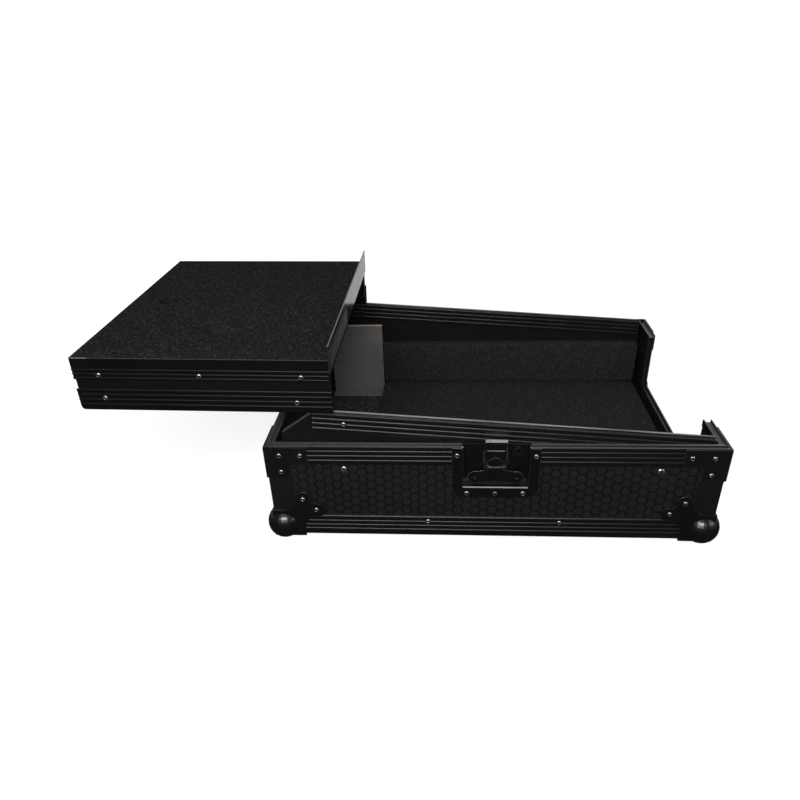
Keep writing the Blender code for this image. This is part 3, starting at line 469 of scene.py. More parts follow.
def fill_pores(graph: Graph, sockets: Sockets) -> Sockets:
    """Open foam: cells of two sizes and bright flecks where a cell wall catches the light.

    Args:
        graph: the group's graph.
        sockets: its inputs.

    Returns:
        A height, a tone value and a fleck mask.
    """
    place, scale = graph.place(), sockets["Scale"]
    narrow, wide = (graph.add("TexVoronoi", {"feature": "F1"}, Vector=place, Scale=cells,
                              Randomness=1.0).outputs for cells in (scale, graph.times(scale, 0.55)))
    fine = graph.noise(place, graph.times(scale, 1.7), detail=3.0)
    broad = graph.noise(place, graph.times(scale, 0.28), detail=2.0)
    random = graph.add("TexWhiteNoise", Vector=wide["Position"]).outputs["Value"]
    fleck = graph.times(graph.ramp(random, 0.70, 0.98), graph.ramp(wide["Distance"], 0.50, 0.30))
    height = graph.plus(narrow["Distance"], graph.times(fine, 0.8))
    return {"Height": height, "Tone": graph.times(fine, broad), "Fleck": fleck}


def fill_hatch(graph: Graph, sockets: Sockets) -> Sockets:
    """Two crossing families of diagonal ridges, sin(k(u+v)) and a lower sin(k(u-v)).

    Args:
        graph: the group's graph.
        sockets: its inputs.

    Returns:
        A height.
    """
    along, across = plane_coordinates(graph)
    k = graph.math("DIVIDE", math.tau, sockets["Pitch"])
    first = graph.math("SINE", graph.times(graph.plus(along, across), k))
    second = graph.math("SINE", graph.times(graph.minus(along, across), k))
    top = graph.math("MAXIMUM", first, graph.times(second, 0.55))
    return {"Height": graph.ramp(top, -0.4, 0.9)}


HEXES = Effect("hexagons", {"Radius": (FLOAT, 7.45)}, {"Height": FLOAT, "Groove": FLOAT, "Cell": FLOAT},
               fill_hexes)
WEAR_AND_SHEEN = Effect("edge_wear_and_sheen", {"Radius": (FLOAT, 0.0006), "Amount": (FLOAT, 1.0)},
              {"Mask": FLOAT, "Normal": VECTOR}, fill_wear_and_sheen)
GRAIN = Effect("grain", {"Scale": (FLOAT, 900.0), "Stretch": (VECTOR, (1.0, 1.0, 1.0))},
               {"Height": FLOAT, "Cloud": FLOAT, "Scratch": FLOAT}, fill_grain)
DUST = Effect("dust", {"Amount": (FLOAT, 0.5)}, {"Mask": FLOAT}, fill_dust)
PORES = Effect("foam_pores", {"Scale": (FLOAT, 700.0)}, {"Height": FLOAT, "Tone": FLOAT, "Fleck": FLOAT},
               fill_pores)
HATCH = Effect("hatch", {"Pitch": (FLOAT, 6.0)}, {"Height": FLOAT}, fill_hatch)

# Linear colours of dust and of the rubbed line
DUST_COLOUR = (0.16, 0.155, 0.15)
LINE_COLOUR = (0.27, 0.27, 0.26)

# How much clouds, scratches, dust and the patterns change a finish
CLOUD_SHARE, CLOUD_DARK, CLOUD_LIGHT, CLOUD_ROUGH = 0.7, 0.72, 1.35, 0.12
SCRATCH_SHARE = 0.25
DUST_ROUGH = 0.4
HEX_TINT = (1.22, 1.05, 1.08)
FLECK_GAIN = 3.2
BUMP_DEPTH = 0.0006

# Widths in metres over which the painted highlight on upper faces and the rubbed line begin
TOP_SHEEN_FADE, LINE_FADE = 0.0002, 0.0003


def opaque(colour: Sequence[float], gain: Union[float, Sequence[float]] = 1.0) -> tuple:
    """Colour with full alpha.

    Args:
        colour: linear red, green and blue.
        gain: number, or one number for each channel, that they are multiplied by.

    Returns:
        Red, green, blue and alpha.
    """
    return (*np.multiply(colour, gain), 1.0)


class Pattern(Enum):
    """What covers a surface, beside its grain."""

    PLAIN = "plain"
    HEXES = "hexes"
    FOAM = "foam"
    HATCH = "hatch"


@dataclass(frozen=True)
class Finish:
    """One surface finish.

    Attributes:
        name: the material's name.
        colour: linear base colour.
        roughness: roughness of the clean surface.
        metallic: how metallic it is.
        specular: Specular IOR Level of the non-metallic part.
        grain: grain scale.
        stretch: grain stretch along X, Y and Z.
        bump: grain bump strength.
        wear_and_sheen: amount of edge scuffing, which also paints highlights on ridges and edges.
        worn_and_lit: linear colour of a scuffed edge, of a painted edge highlight and of the painted
            highlight on faces that look up.
        wear_and_sheen_radius: width of the scuffed and highlighted edge in metres.
        top_sheen: strength of the painted highlight on faces that look up, where light falls on them.
        top_sheen_past: distance from the middle plane past which that painted highlight lies, in metres.
        worn_and_lit_metal: how metallic the scuffed places and the painted highlights are.
        dust: amount of dust.
        pattern: what covers it.
        size: the pattern's size.
        second: linear colour of the pattern's raised or lit part.
        rubbed: optional plane (nx, ny, nz, d) in metres; where n p > d the surface is rubbed bright.
    """

    name: str
    colour: tuple
    roughness: float = 0.5
    metallic: float = 0.0
    specular: float = 0.5
    grain: float = 900.0
    stretch: tuple = (1.0, 1.0, 1.0)
    bump: float = 0.05
    wear_and_sheen: float = 0.0
    worn_and_lit: tuple = (0.30, 0.30, 0.30)
    wear_and_sheen_radius: float = 0.0006
    top_sheen: float = 0.0
    top_sheen_past: float = 0.0
    worn_and_lit_metal: float = 1.0
    dust: float = 0.0
    pattern: Pattern = Pattern.PLAIN
    size: float = 1.0
    second: tuple = (0.03, 0.03, 0.03)
    rubbed: Optional[tuple] = None

    def covered(self, graph: Graph, grain: Sockets) -> tuple:
        """Colour and height of the surface with its pattern, before wear.

        Args:
            graph: the material's graph.
            grain: outputs of its grain.

        Returns:
            The colour and the height.
        """
        clouds = graph.times(grain["Cloud"], CLOUD_SHARE)
        clouded = graph.mix(clouds, opaque(self.colour, CLOUD_DARK), opaque(self.colour, CLOUD_LIGHT))
        if self.pattern is Pattern.HEXES:
            hexes = HEXES.on(graph, Radius=self.size)
            tint = graph.mix(hexes["Cell"], opaque(self.second), opaque(self.second, HEX_TINT))
            height = graph.plus(graph.times(grain["Height"], 0.35), hexes["Height"])
            return graph.mix(hexes["Groove"], tint, clouded), height
        if self.pattern is Pattern.FOAM:
            pores = PORES.on(graph, Scale=self.size)
            lit = graph.mix(graph.ramp(pores["Tone"], 0.12, 0.38), opaque(self.colour), opaque(self.second))
            return graph.mix(pores["Fleck"], lit, opaque(self.second, FLECK_GAIN)), pores["Height"]
        if self.pattern is Pattern.HATCH:
            ridges = HATCH.on(graph, Pitch=self.size)["Height"]
            height = graph.plus(graph.times(grain["Height"], 0.3), ridges)
            return graph.mix(ridges, clouded, opaque(self.second)), height
        return clouded, grain["Height"]

    def worn_and_lit_places(self, graph: Graph, grain: Sockets) -> tuple:
        """Where the surface is scuffed and where highlights are painted: its edges, scuffed and painted as
        highlights, its scratches and, if asked, a painted highlight on the faces that look up.

        Args:
            graph: the material's graph.
            grain: outputs of its grain.

        Returns:
            The mask and the bevelled normal.
        """
        # Edge mask: scuffing, and painted highlights on ridges and edges
        edges = WEAR_AND_SHEEN.on(graph, Radius=self.wear_and_sheen_radius, Amount=self.wear_and_sheen)
        worn_and_lit = graph.math("MAXIMUM", edges["Mask"], graph.times(grain["Scratch"], self.wear_and_sheen * SCRATCH_SHARE))
        # Painted highlight on faces that look up, where light falls on them, broken up by clouds
        if self.top_sheen > 0.0:
            top = graph.times(graph.ramp(graph.axes(graph.face_normal())[2], 0.94, 0.99), self.top_sheen)
            top = graph.times(top, graph.ramp(grain["Cloud"], 0.20, 0.50))
            if self.top_sheen_past > 0.0:
                y = graph.unsigned(graph.axes(graph.place())[1])
                top = graph.times(top, graph.ramp(y, self.top_sheen_past - TOP_SHEEN_FADE, self.top_sheen_past))
            worn_and_lit = graph.math("MAXIMUM", worn_and_lit, top)
        return worn_and_lit, edges["Normal"]

    def rubbed_line(self, graph: Graph, grain: Sockets) -> bpy.types.NodeSocket:
        """Returns the mask of what lies above the rubbed plane, broken up by clouds."""
        above = graph.vector("DOT_PRODUCT", graph.place(), self.rubbed[:3]).outputs["Value"]
        line = graph.ramp(above, self.rubbed[3], self.rubbed[3] + LINE_FADE)
        return graph.times(line, graph.ramp(grain["Cloud"], 0.15, 0.60))

    def material(self) -> bpy.types.Material:
        """Makes the material once.

        Returns:
            The material.
        """
        title = f"{self.name}_finish"
        found = bpy.data.materials.get(title)
        if found is not None:
            return found
        made = bpy.data.materials.new(title)
        made.use_nodes = True
        graph = Graph(made.node_tree)
        shader = made.node_tree.nodes["Principled BSDF"]
        grain = GRAIN.on(graph, Scale=self.grain, Stretch=self.stretch)
        colour, height = self.covered(graph, grain)
        bump = graph.add("Bump", Strength=self.bump, Distance=BUMP_DEPTH, Height=height)
        metallic = self.metallic
        if self.wear_and_sheen > 0.0:
            worn_and_lit, normal = self.worn_and_lit_places(graph, grain)
            made.node_tree.links.new(normal, bump.inputs["Normal"])
            # The scuffed edges and the painted highlights take their bright colour here
            colour = graph.mix(worn_and_lit, colour, opaque(self.worn_and_lit))
            metallic = graph.math("MAXIMUM", graph.times(worn_and_lit, self.worn_and_lit_metal), self.metallic)
        if self.rubbed is not None:
            colour = graph.mix(self.rubbed_line(graph, grain), colour, opaque(LINE_COLOUR))
        if self.dust > 0.0:
            dust = DUST.on(graph, Amount=self.dust)["Mask"]
            colour = graph.mix(dust, colour, opaque(DUST_COLOUR))
            rough = graph.math("ADD", graph.times(dust, DUST_ROUGH), self.roughness, clamp=True)
        else:
            clouds = graph.times(grain["Cloud"], CLOUD_ROUGH)
            rough = graph.math("ADD", clouds, self.roughness - CLOUD_ROUGH / 2.0, clamp=True)
        for title, value in (("Base Color", colour), ("Roughness", rough), ("Metallic", metallic),
                             ("Normal", bump.outputs[0]), ("Specular IOR Level", self.specular)):
            if isinstance(value, bpy.types.NodeSocket):
                made.node_tree.links.new(value, shader.inputs[title])
            else:
                shader.inputs[title].default_value = value
        return made


ALONG_X, ALONG_Y = (0.05, 1.0, 1.0), (1.0, 0.05, 1.0)

# The edge masks of these finishes paint highlights on ridges and edges as well as scuffing, and faces that
# look up get a painted highlight
EXTRUSION_X = Finish("extrusion_along_x", (0.0072, 0.0071, 0.0071), 0.36, 0.26, 0.40, grain=700.0,
                     stretch=ALONG_X, wear_and_sheen=0.20, worn_and_lit=(0.25, 0.25, 0.25), top_sheen=0.62, dust=0.03)
EXTRUSION_Y = replace(EXTRUSION_X, name="extrusion_along_y", stretch=ALONG_Y, top_sheen=0.30)
RAIL = Finish("rail_extrusion", (0.0078, 0.0077, 0.0077), 0.34, 0.28, 0.42, grain=700.0, stretch=ALONG_X,
              wear_and_sheen=0.5, worn_and_lit=(0.19, 0.19, 0.19), top_sheen=0.12, dust=0.02,
              rubbed=(math.sin(RAIL_SLOPE), 0.0, math.cos(RAIL_SLOPE), TONGUE_PLANE))
SHELF_TRIM_X = Finish("shelf_trim_along_x", (0.0040, 0.0040, 0.0041), 0.42, 0.06, 0.22, grain=700.0,
                      stretch=ALONG_X, wear_and_sheen=0.14, worn_and_lit=(0.07, 0.07, 0.07), dust=0.015)
SHELF_TRIM_Y = Finish("shelf_trim_along_y", (0.0046, 0.0046, 0.0047), 0.40, 0.20, 0.40, grain=700.0,
                      stretch=ALONG_Y, wear_and_sheen=0.5, worn_and_lit=(0.14, 0.14, 0.14), dust=0.02)
SMOOTH_ANGLE = Finish("smooth_angle", (0.0094, 0.0092, 0.0090), 0.38, 0.2, 0.4, bump=0.03, wear_and_sheen=0.22)
LAMINATE = Finish("hex_laminate", (0.0028, 0.0026, 0.0026), 0.48, 0.0, 0.30, grain=1500.0, bump=0.55,
                  pattern=Pattern.HEXES, size=7.45, second=(0.0118, 0.0106, 0.0106))
RISER = Finish("riser_laminate", (0.0054, 0.0053, 0.0053), 0.46, 0.0, 0.26, grain=1500.0, bump=0.10,
               wear_and_sheen=0.14, worn_and_lit=(0.12, 0.11, 0.10))
SHELF_WALL = Finish("shelf_laminate", (0.0043, 0.0043, 0.0045), 0.50, 0.0, 0.22, grain=1300.0, bump=0.12,
                    wear_and_sheen=0.12, worn_and_lit=(0.10, 0.10, 0.10))
SHELF_WALL_NEAR = replace(SHELF_WALL, name="shelf_laminate_near",
                          rubbed=shelf_plane(SHELF_HEIGHT - SHELF_WORN_BAND))
PLYWOOD = Finish("plywood", (0.009, 0.008, 0.0075), 0.62, 0.0, 0.3, grain=500.0, stretch=(0.2, 1.0, 1.0),
                 bump=0.2)
STEEL = Finish("black_steel", (0.0075, 0.0075, 0.0077), 0.32, 0.22, 0.45, grain=1300.0, wear_and_sheen=0.45,
               worn_and_lit=(0.30, 0.30, 0.29))
# Bright colour on the dish's upward faces is a painted highlight where light falls on its lower wall
DISH = Finish("dish_steel", (0.0060, 0.0060, 0.0062), 0.30, 0.22, 0.45, grain=1100.0, wear_and_sheen=0.22,
              worn_and_lit=(0.62, 0.62, 0.61), wear_and_sheen_radius=0.0005, top_sheen=1.0, top_sheen_past=0.2058, worn_and_lit_metal=0.3)
LATCH = Finish("latch_steel", (0.0060, 0.0060, 0.0062), 0.28, 0.25, 0.5, grain=1100.0, wear_and_sheen=0.6,
               worn_and_lit=(0.46, 0.46, 0.45))
# Bright colour on the hook's upward faces is a painted highlight on its lit top edge
HOOK = replace(LATCH, name="hook_steel", worn_and_lit=(0.52, 0.52, 0.51), top_sheen=1.0, worn_and_lit_metal=0.3)
BALL = Finish("ball_steel", (0.0046, 0.0046, 0.0048), 0.28, 0.14, 0.8, grain=1100.0, bump=0.03, wear_and_sheen=0.35)
LIP = Finish("lip_gloss", (0.010, 0.010, 0.0105), 0.17, 0.0, 0.75, grain=400.0, stretch=(1.0, 0.1, 1.0),
             bump=0.01, wear_and_sheen=0.8, worn_and_lit=(0.45, 0.45, 0.44), wear_and_sheen_radius=0.0005)
BRIGHT = Finish("bright_rivet", (0.66, 0.65, 0.63), 0.30, 1.0, grain=1500.0, bump=0.04)
# Near black: painted shade inside the rivets' bores and the bolts' cross recesses
RECESS_SHADE = Finish("recess_shade", (0.004, 0.004, 0.004), 0.8, 0.0, 0.1, bump=0.1)
RUBBER = Finish("rubber", (0.011, 0.011, 0.011), 0.75, 0.0, 0.3, bump=0.25, dust=0.1)
NYLON = Finish("nylon", (0.030, 0.030, 0.030), 0.45, 0.0, 0.4, bump=0.06)
FOAM = Finish("fine_foam", (0.0125, 0.0130, 0.0135), 0.95, 0.0, 0.0, bump=0.6, pattern=Pattern.FOAM,
              size=1500.0, second=(0.027, 0.027, 0.028))
SHELF_FOAM = Finish("shelf_foam", (0.0100, 0.0106, 0.0103), 0.95, 0.0, 0.0, bump=0.5, pattern=Pattern.FOAM,
                    size=820.0, second=(0.0225, 0.0232, 0.0228))
MAT = Finish("ribbed_mat", (0.070, 0.070, 0.070), 0.7, 0.0, 0.2, bump=0.6, pattern=Pattern.HATCH, size=6.4,
             second=(0.22, 0.22, 0.22))
FLOOR_MAT = Finish("speckled_floor", (0.012, 0.012, 0.012), 0.8, 0.0, 0.2, bump=0.5, pattern=Pattern.FOAM,
                   size=700.0, second=(0.045, 0.045, 0.045))
BAND = Finish("mat_band", (0.15, 0.15, 0.15), 0.7, 0.0, 0.2, bump=0.15)
COPPER = Finish("copper_edge", (0.80, 0.55, 0.40), 0.42, 0.25, bump=0.1)
BARE_EDGE = Finish("bare_edge", (0.34, 0.34, 0.33), 0.45, 0.3, bump=0.1)
RUBBED_EDGE = Finish("rubbed_edge", (0.055, 0.055, 0.055), 0.5, 0.2, 0.4, bump=0.1)


# Meshes

# Angle between faces from which an edge is drawn sharp
SHARP = math.radians(38.0)


@dataclass
class Shape:
    """Vertices in mm and faces of one or more closed solids.

    Attributes:
        points: array of shape (n, 3).
        faces: tuples of vertex indices.
    """

    points: np.ndarray = field(default_factory=lambda: np.zeros((0, 3)))
    faces: list = field(default_factory=list)

    def joined(self, other: "Shape") -> "Shape":
        """Both shapes side by side in one mesh.

        Args:
            other: shape to add.

        Returns:
            The joined shape.
        """
        count = len(self.points)
        moved = [tuple(index + count for index in face) for face in other.faces]
        return Shape(np.vstack((self.points, other.points)), self.faces + moved)

    def moved(self, matrix: Matrix) -> "Shape":
        """The shape after a matrix.

        Args:
            matrix: any 4 x 4 matrix.

        Returns:
            The moved shape.
        """
        array = np.array(matrix)
        return Shape(self.points @ array[:3, :3].T + array[:3, 3], list(self.faces))

    def object(self, name: str, finish: Finish, matrix: Matrix, smooth: bool = True) -> bpy.types.Object:
        """Turns the shape into an object at the origin with its place in the mesh.

        Args:
            name: the object's name.
            finish: its finish.
            matrix: from the shape's mm to metres in the row frame.
            smooth: whether shallow edges are drawn smooth.

        Returns:
            The object.
        """
        placed = self.moved(matrix)
        mesh = bpy.data.meshes.new(name)
        mesh.from_pydata(placed.points.tolist(), [], placed.faces)
        mesh.validate()
        mesh.update()
        if smooth:
            mesh.shade_smooth()
            mesh.set_sharp_from_angle(angle=SHARP)
        mesh.materials.append(finish.material())
        made = bpy.data.objects.new(name, mesh)
        bpy.context.scene.collection.objects.link(made)
        return made


def all_joined(shapes: Iterable[Shape]) -> Shape:
    """Joins many shapes.

    Args:
        shapes: shapes to join.

    Returns:
        One shape.
    """
    result = Shape()
    for shape in shapes:
        result = result.joined(shape)
    return result


def grid_faces(rows: int, columns: int, wrap_rows: bool = False, wrap_columns: bool = True) -> list:
    """Quads of a grid of points in row-major order.

    Args:
        rows: number of rows.
        columns: number of points in a row.
        wrap_rows: whether the last row meets the first.
        wrap_columns: whether each row closes on itself.

    Returns:
        Tuples of four indices.
    """
    last_row = rows if wrap_rows else rows - 1
    last_column = columns if wrap_columns else columns - 1
    r, c = np.meshgrid(np.arange(last_row), np.arange(last_column), indexing="ij")
    r1, c1 = (r + 1) % rows, (c + 1) % columns
    quads = np.stack((r * columns + c, r * columns + c1, r1 * columns + c1, r1 * columns + c), axis=-1)
    return [tuple(int(value) for value in quad) for quad in quads.reshape(-1, 4)]


def revolved(profile: Sequence[tuple], segments: int = 28,
             sunk: Optional[Callable[[np.ndarray, np.ndarray], np.ndarray]] = None) -> Shape:
    """Solid of revolution about +Z: (r cos t, r sin t, z) for each (r, z), closed by a cap at each end.

    Args:
        profile: radii and heights from the lower middle outward to the upper middle.
        segments: points round it.
        sunk: optional change of height, given radii and angles.

    Returns:
        The closed shape.
    """
    radii, heights = (np.array([pair[axis] for pair in profile]) for axis in (0, 1))
    angles = np.linspace(0.0, math.tau, segments, endpoint=False)
    r, t = np.meshgrid(radii, angles, indexing="ij")
    z = np.repeat(heights[:, None], segments, axis=1)
    if sunk is not None:
        z = z + sunk(r, t)
    points = np.stack((r * np.cos(t), r * np.sin(t), z), axis=-1).reshape(-1, 3)
    faces = grid_faces(len(profile), segments)
    lower = tuple(reversed(range(segments)))
    upper = tuple(range(len(points) - segments, len(points)))
    return Shape(points, faces + [lower, upper])


def plate(outline: Sequence[tuple], low: float, high: float) -> Shape:
    """Flat plate in the x-z plane with an outline, from y = low to y = high.

    Args:
        outline: (x, z) points going anticlockwise as seen from -y.
        low: outer face.
        high: inner face.

    Returns:
        The closed shape.
    """
    flat = np.array(outline)
    count = len(flat)
    front = np.column_stack((flat[:, 0], np.full(count, low), flat[:, 1]))
    back = np.column_stack((flat[:, 0], np.full(count, high), flat[:, 1]))
    rows = grid_faces(2, count)
    return Shape(np.vstack((front, back)),
                 [tuple(reversed(quad)) for quad in rows]
                 + [tuple(range(count)), tuple(reversed(range(count, 2 * count)))])


def rounded(outline: Sequence[tuple], radius: float, steps: int = 4) -> list:
    """Rounds the corners of a polygon by arcs.

    Args:
        outline: its corners.
        radius: radius of every corner.
        steps: parts of each arc.

    Returns:
        The rounded outline.
    """
    corners = [np.array(point, float) for point in outline]
    result = []
    for index, corner in enumerate(corners):
        before, after = corners[index - 1] - corner, corners[(index + 1) % len(corners)] - corner
        before, after = before / np.linalg.norm(before), after / np.linalg.norm(after)
        half = math.acos(float(np.clip(before @ after, -1.0, 1.0))) / 2.0
        reach = radius / math.tan(half)
        centre = corner + (before + after) / np.linalg.norm(before + after) * (radius / math.sin(half))
        first, last = corner + before * reach - centre, corner + after * reach - centre
        start = math.atan2(first[1], first[0])
        sweep = (math.atan2(last[1], last[0]) - start + math.pi) % math.tau - math.pi
        for step in range(steps + 1):
            angle = start + sweep * step / steps
            result.append((centre[0] + radius * math.cos(angle), centre[1] + radius * math.sin(angle)))
    return result


def block(low: Sequence[float], high: Sequence[float]) -> Shape:
    """Box between two corners.

    Args:
        low: lowest corner.
        high: highest corner.

    Returns:
        The closed shape.
    """
    outline = [(low[0], low[2]), (high[0], low[2]), (high[0], high[2]), (low[0], high[2])]
    return plate(outline, low[1], high[1])


# Fasteners


class Side(Enum):
    """Outer faces of the base: the turn of each face's own frame and the corner that it starts from."""

    NEAR = (0.0, (0.0, 0.0))
    FRONT = (90.0, (LENGTH, 0.0))
    FAR = (180.0, (LENGTH, WIDTH))
    REAR = (270.0, (0.0, WIDTH))

    def matrix(self) -> Matrix:
        """Place of the face's own frame: x along the face, y into the case, z up.

        Returns:
            The matrix in mm in the base's frame.
        """
        turn, corner = self.value
        return Matrix.Translation((*corner, 0.0)) @ Matrix.Rotation(math.radians(turn), 4, "Z")

    def length(self) -> float:
        """Returns the face's length in mm."""
        return LENGTH if self in (Side.NEAR, Side.FAR) else WIDTH

    def before(self) -> "Side":
        """Returns the side that ends where this one starts."""
        sides = list(Side)
        return sides[sides.index(self) - 1]


# Radius in mm at which a turned shape's caps close round its axis
AXIS = 0.02


def dome(radius: float, edge: float, height: float, share: float, steps: int) -> list:
    """Profile of a dome: (R cos(s a), e + h sin a) for a from 0 to a quarter turn.

    Args:
        radius: R, the dome's radius.
        edge: e, height of its edge.
        height: h, height of its top over the edge.
        share: s, share of a quarter turn that it covers. The rest stays open round the axis.
        steps: number of points.

    Returns:
        Radii and heights from the edge up.
    """
    angles = np.linspace(0.0, math.pi / 2.0, steps)
    return [(radius * math.cos(share * a), edge + height * math.sin(a)) for a in angles]


@dataclass(frozen=True)
class Rivet:
    """Hollow rivet: a domed head with a small bore, darkened inside by a plug of painted shade.

    Attributes:
        radius: the head's radius in mm.
        edge: height of its edge.
        height: height of the dome over the edge.
        share: share of a quarter turn that the dome covers.
        bore: (share of the radius, height over the dome's) of the points down the bore's wall.
        bore_floor: the bore's floor, as such a height.
        shade_plug_radius: radius of the dark plug of painted shade in the bore, as a share of the head's.
        shade_plug_z: foot, edge and tip of that plug, as such heights.
    """

    radius: float = 3.3
    edge: float = 0.25
    height: float = 1.35
    share: float = 0.68
    bore: tuple = ((0.46, 0.20), (0.42, -0.05), (0.41, -0.95))
    bore_floor: float = -0.98
    shade_plug_radius: float = 0.395
    shade_plug_z: tuple = (-0.96, -0.20, -0.08)

    def shape(self) -> Shape:
        """Head about +Z, standing on z = 0.

        Returns:
            The closed shape.
        """
        wall = [(part * self.radius, self.height + z) for part, z in self.bore]
        floor = (AXIS, self.height + self.bore_floor)
        head = dome(self.radius, self.edge, self.height, self.share, 7)
        return revolved([(AXIS, 0.0), (self.radius, 0.0), *head, *wall, floor], 24)

    def shade_plug(self) -> Shape:
        """Dark plug that fills the bore nearly to its top: painted shade for the bore's dark inside.

        Returns:
            The closed shape.
        """
        radius = self.shade_plug_radius * self.radius
        foot, edge, tip = (self.height + z for z in self.shade_plug_z)
        return revolved([(AXIS, foot), (radius, foot), (radius, edge), (AXIS, tip)], 12)


@dataclass(frozen=True)
class PanelBolt:
    """Pan-head screw with a cross recess.

    Attributes:
        radius: the head's radius in mm.
        edge: height of its edge.
        height: height of the dome over the edge.
        share: share of a quarter turn that the dome covers.
        depth: the recess's depth.
        reach: how far the recess's arms reach, as a share of the radius.
        arm: half the width of an arm at its top.
        rise: length over which an arm's end rises.
        bar: half the width of the dark bar of painted shade at an arm's bottom.
        bar_reach: its reach, as a share of the radius.
        bar_z: lower and upper face of the bar along each axis.
    """

    radius: float = 4.8
    edge: float = 0.3
    height: float = 1.7
    share: float = 0.985
    depth: float = 0.9
    reach: float = 0.62
    arm: float = 0.375
    rise: float = 0.5
    bar: float = 0.6
    bar_reach: float = 0.56
    bar_z: tuple = ((1.15, 1.85), (1.0, 1.8))

    def recess(self, r: np.ndarray, t: np.ndarray) -> np.ndarray:
        """Change of height, -depth where r |sin 2t| is small beside an arm and r is under its reach.

        Args:
            r: distances from the axis.
            t: angles.

        Returns:
            How far each point is moved, 0 or less.
        """
        cross = np.clip(1.0 - np.abs(np.sin(2.0 * t)) * r / (2.0 * self.arm), 0.0, 1.0)
        inside = np.clip((self.reach * self.radius - r) / self.rise, 0.0, 1.0)
        return -self.depth * cross * inside * (r > 1.5 * AXIS)

    def shape(self) -> Shape:
        """Head about +Z with its recess.

        Returns:
            The closed shape.
        """
        head = dome(self.radius, self.edge, self.height, self.share, 16)
        return revolved([(AXIS, 0.0), (self.radius, 0.0), *head], 48, self.recess)

    def cross(self) -> Shape:
        """Dark bars at the bottom of the cross recess: painted shade in the recess.

        Returns:
            Two closed bars, one across the other.
        """
        reach, (first, second) = self.bar_reach * self.radius, self.bar_z
        along = block((-reach, -self.bar, first[0]), (reach, self.bar, first[1]))
        return along.joined(block((-self.bar, -reach, second[0]), (self.bar, reach, second[1])))


def outward(x: float, z: float, lift: float) -> Matrix:
    """Place of a fastener on a face: its +Z points out of the face.

    Args:
        x: distance along the face.
        z: height.
        lift: how far out of the face's plane it stands.

    Returns:
        The matrix in the face's frame, in mm.
    """
    return Matrix.Translation((x, -lift, z)) @ Matrix.Rotation(math.pi / 2.0, 4, "X")


def farward(x: float, y: float, z: float) -> Matrix:
    """Place of a fastener on a face that looks to +Y: its +Z points along +Y.

    Args:
        x: distance along the face.
        y: where the face's plane lies.
        z: height.

    Returns:
        The matrix in mm.
    """
    return Matrix.Translation((x, y, z)) @ Matrix.Rotation(-math.pi / 2.0, 4, "X")


@dataclass
class Fasteners:
    """Rivets and bolts of one body, drawn as one piece for each kind.

    Attributes:
        body: the body they ride on.
        matrix: from the body's mm to metres.
        rivets: places of the rivets.
        bolts: places of the bolts.
    """

    body: Body
    matrix: Matrix
    rivets: list = field(default_factory=list)
    bolts: list = field(default_factory=list)

    def build(self) -> list:
        """Builds the pieces.

        Returns:
            The new objects.
        """
        made = []
        # The dark plugs in the rivets' bores and the dark bars in the bolts' recesses are painted shade
        for name, template, places, finish in (("rivets", Rivet().shape(), self.rivets, BRIGHT),
                                               ("rivet_shade_plugs", Rivet().shade_plug(), self.rivets, RECESS_SHADE),
                                               ("bolts", PanelBolt().shape(), self.bolts, BRIGHT),
                                               ("bolt_cross_shades", PanelBolt().cross(), self.bolts, RECESS_SHADE)):
            if places:
                shape = all_joined(template.moved(place) for place in places)
                piece = shape.object(f"{self.body.value}_{name}", finish, self.matrix)
                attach(piece, self.body.value)
                made.append(piece)
        return made


def rail_matrix() -> Matrix:
    """Returns the frame of the sloping rails: X along their top from the rear end, in mm."""
    return Matrix.Translation((RAIL_START[0], 0.0, RAIL_START[1])) @ Matrix.Rotation(RAIL_SLOPE, 4, "Y")


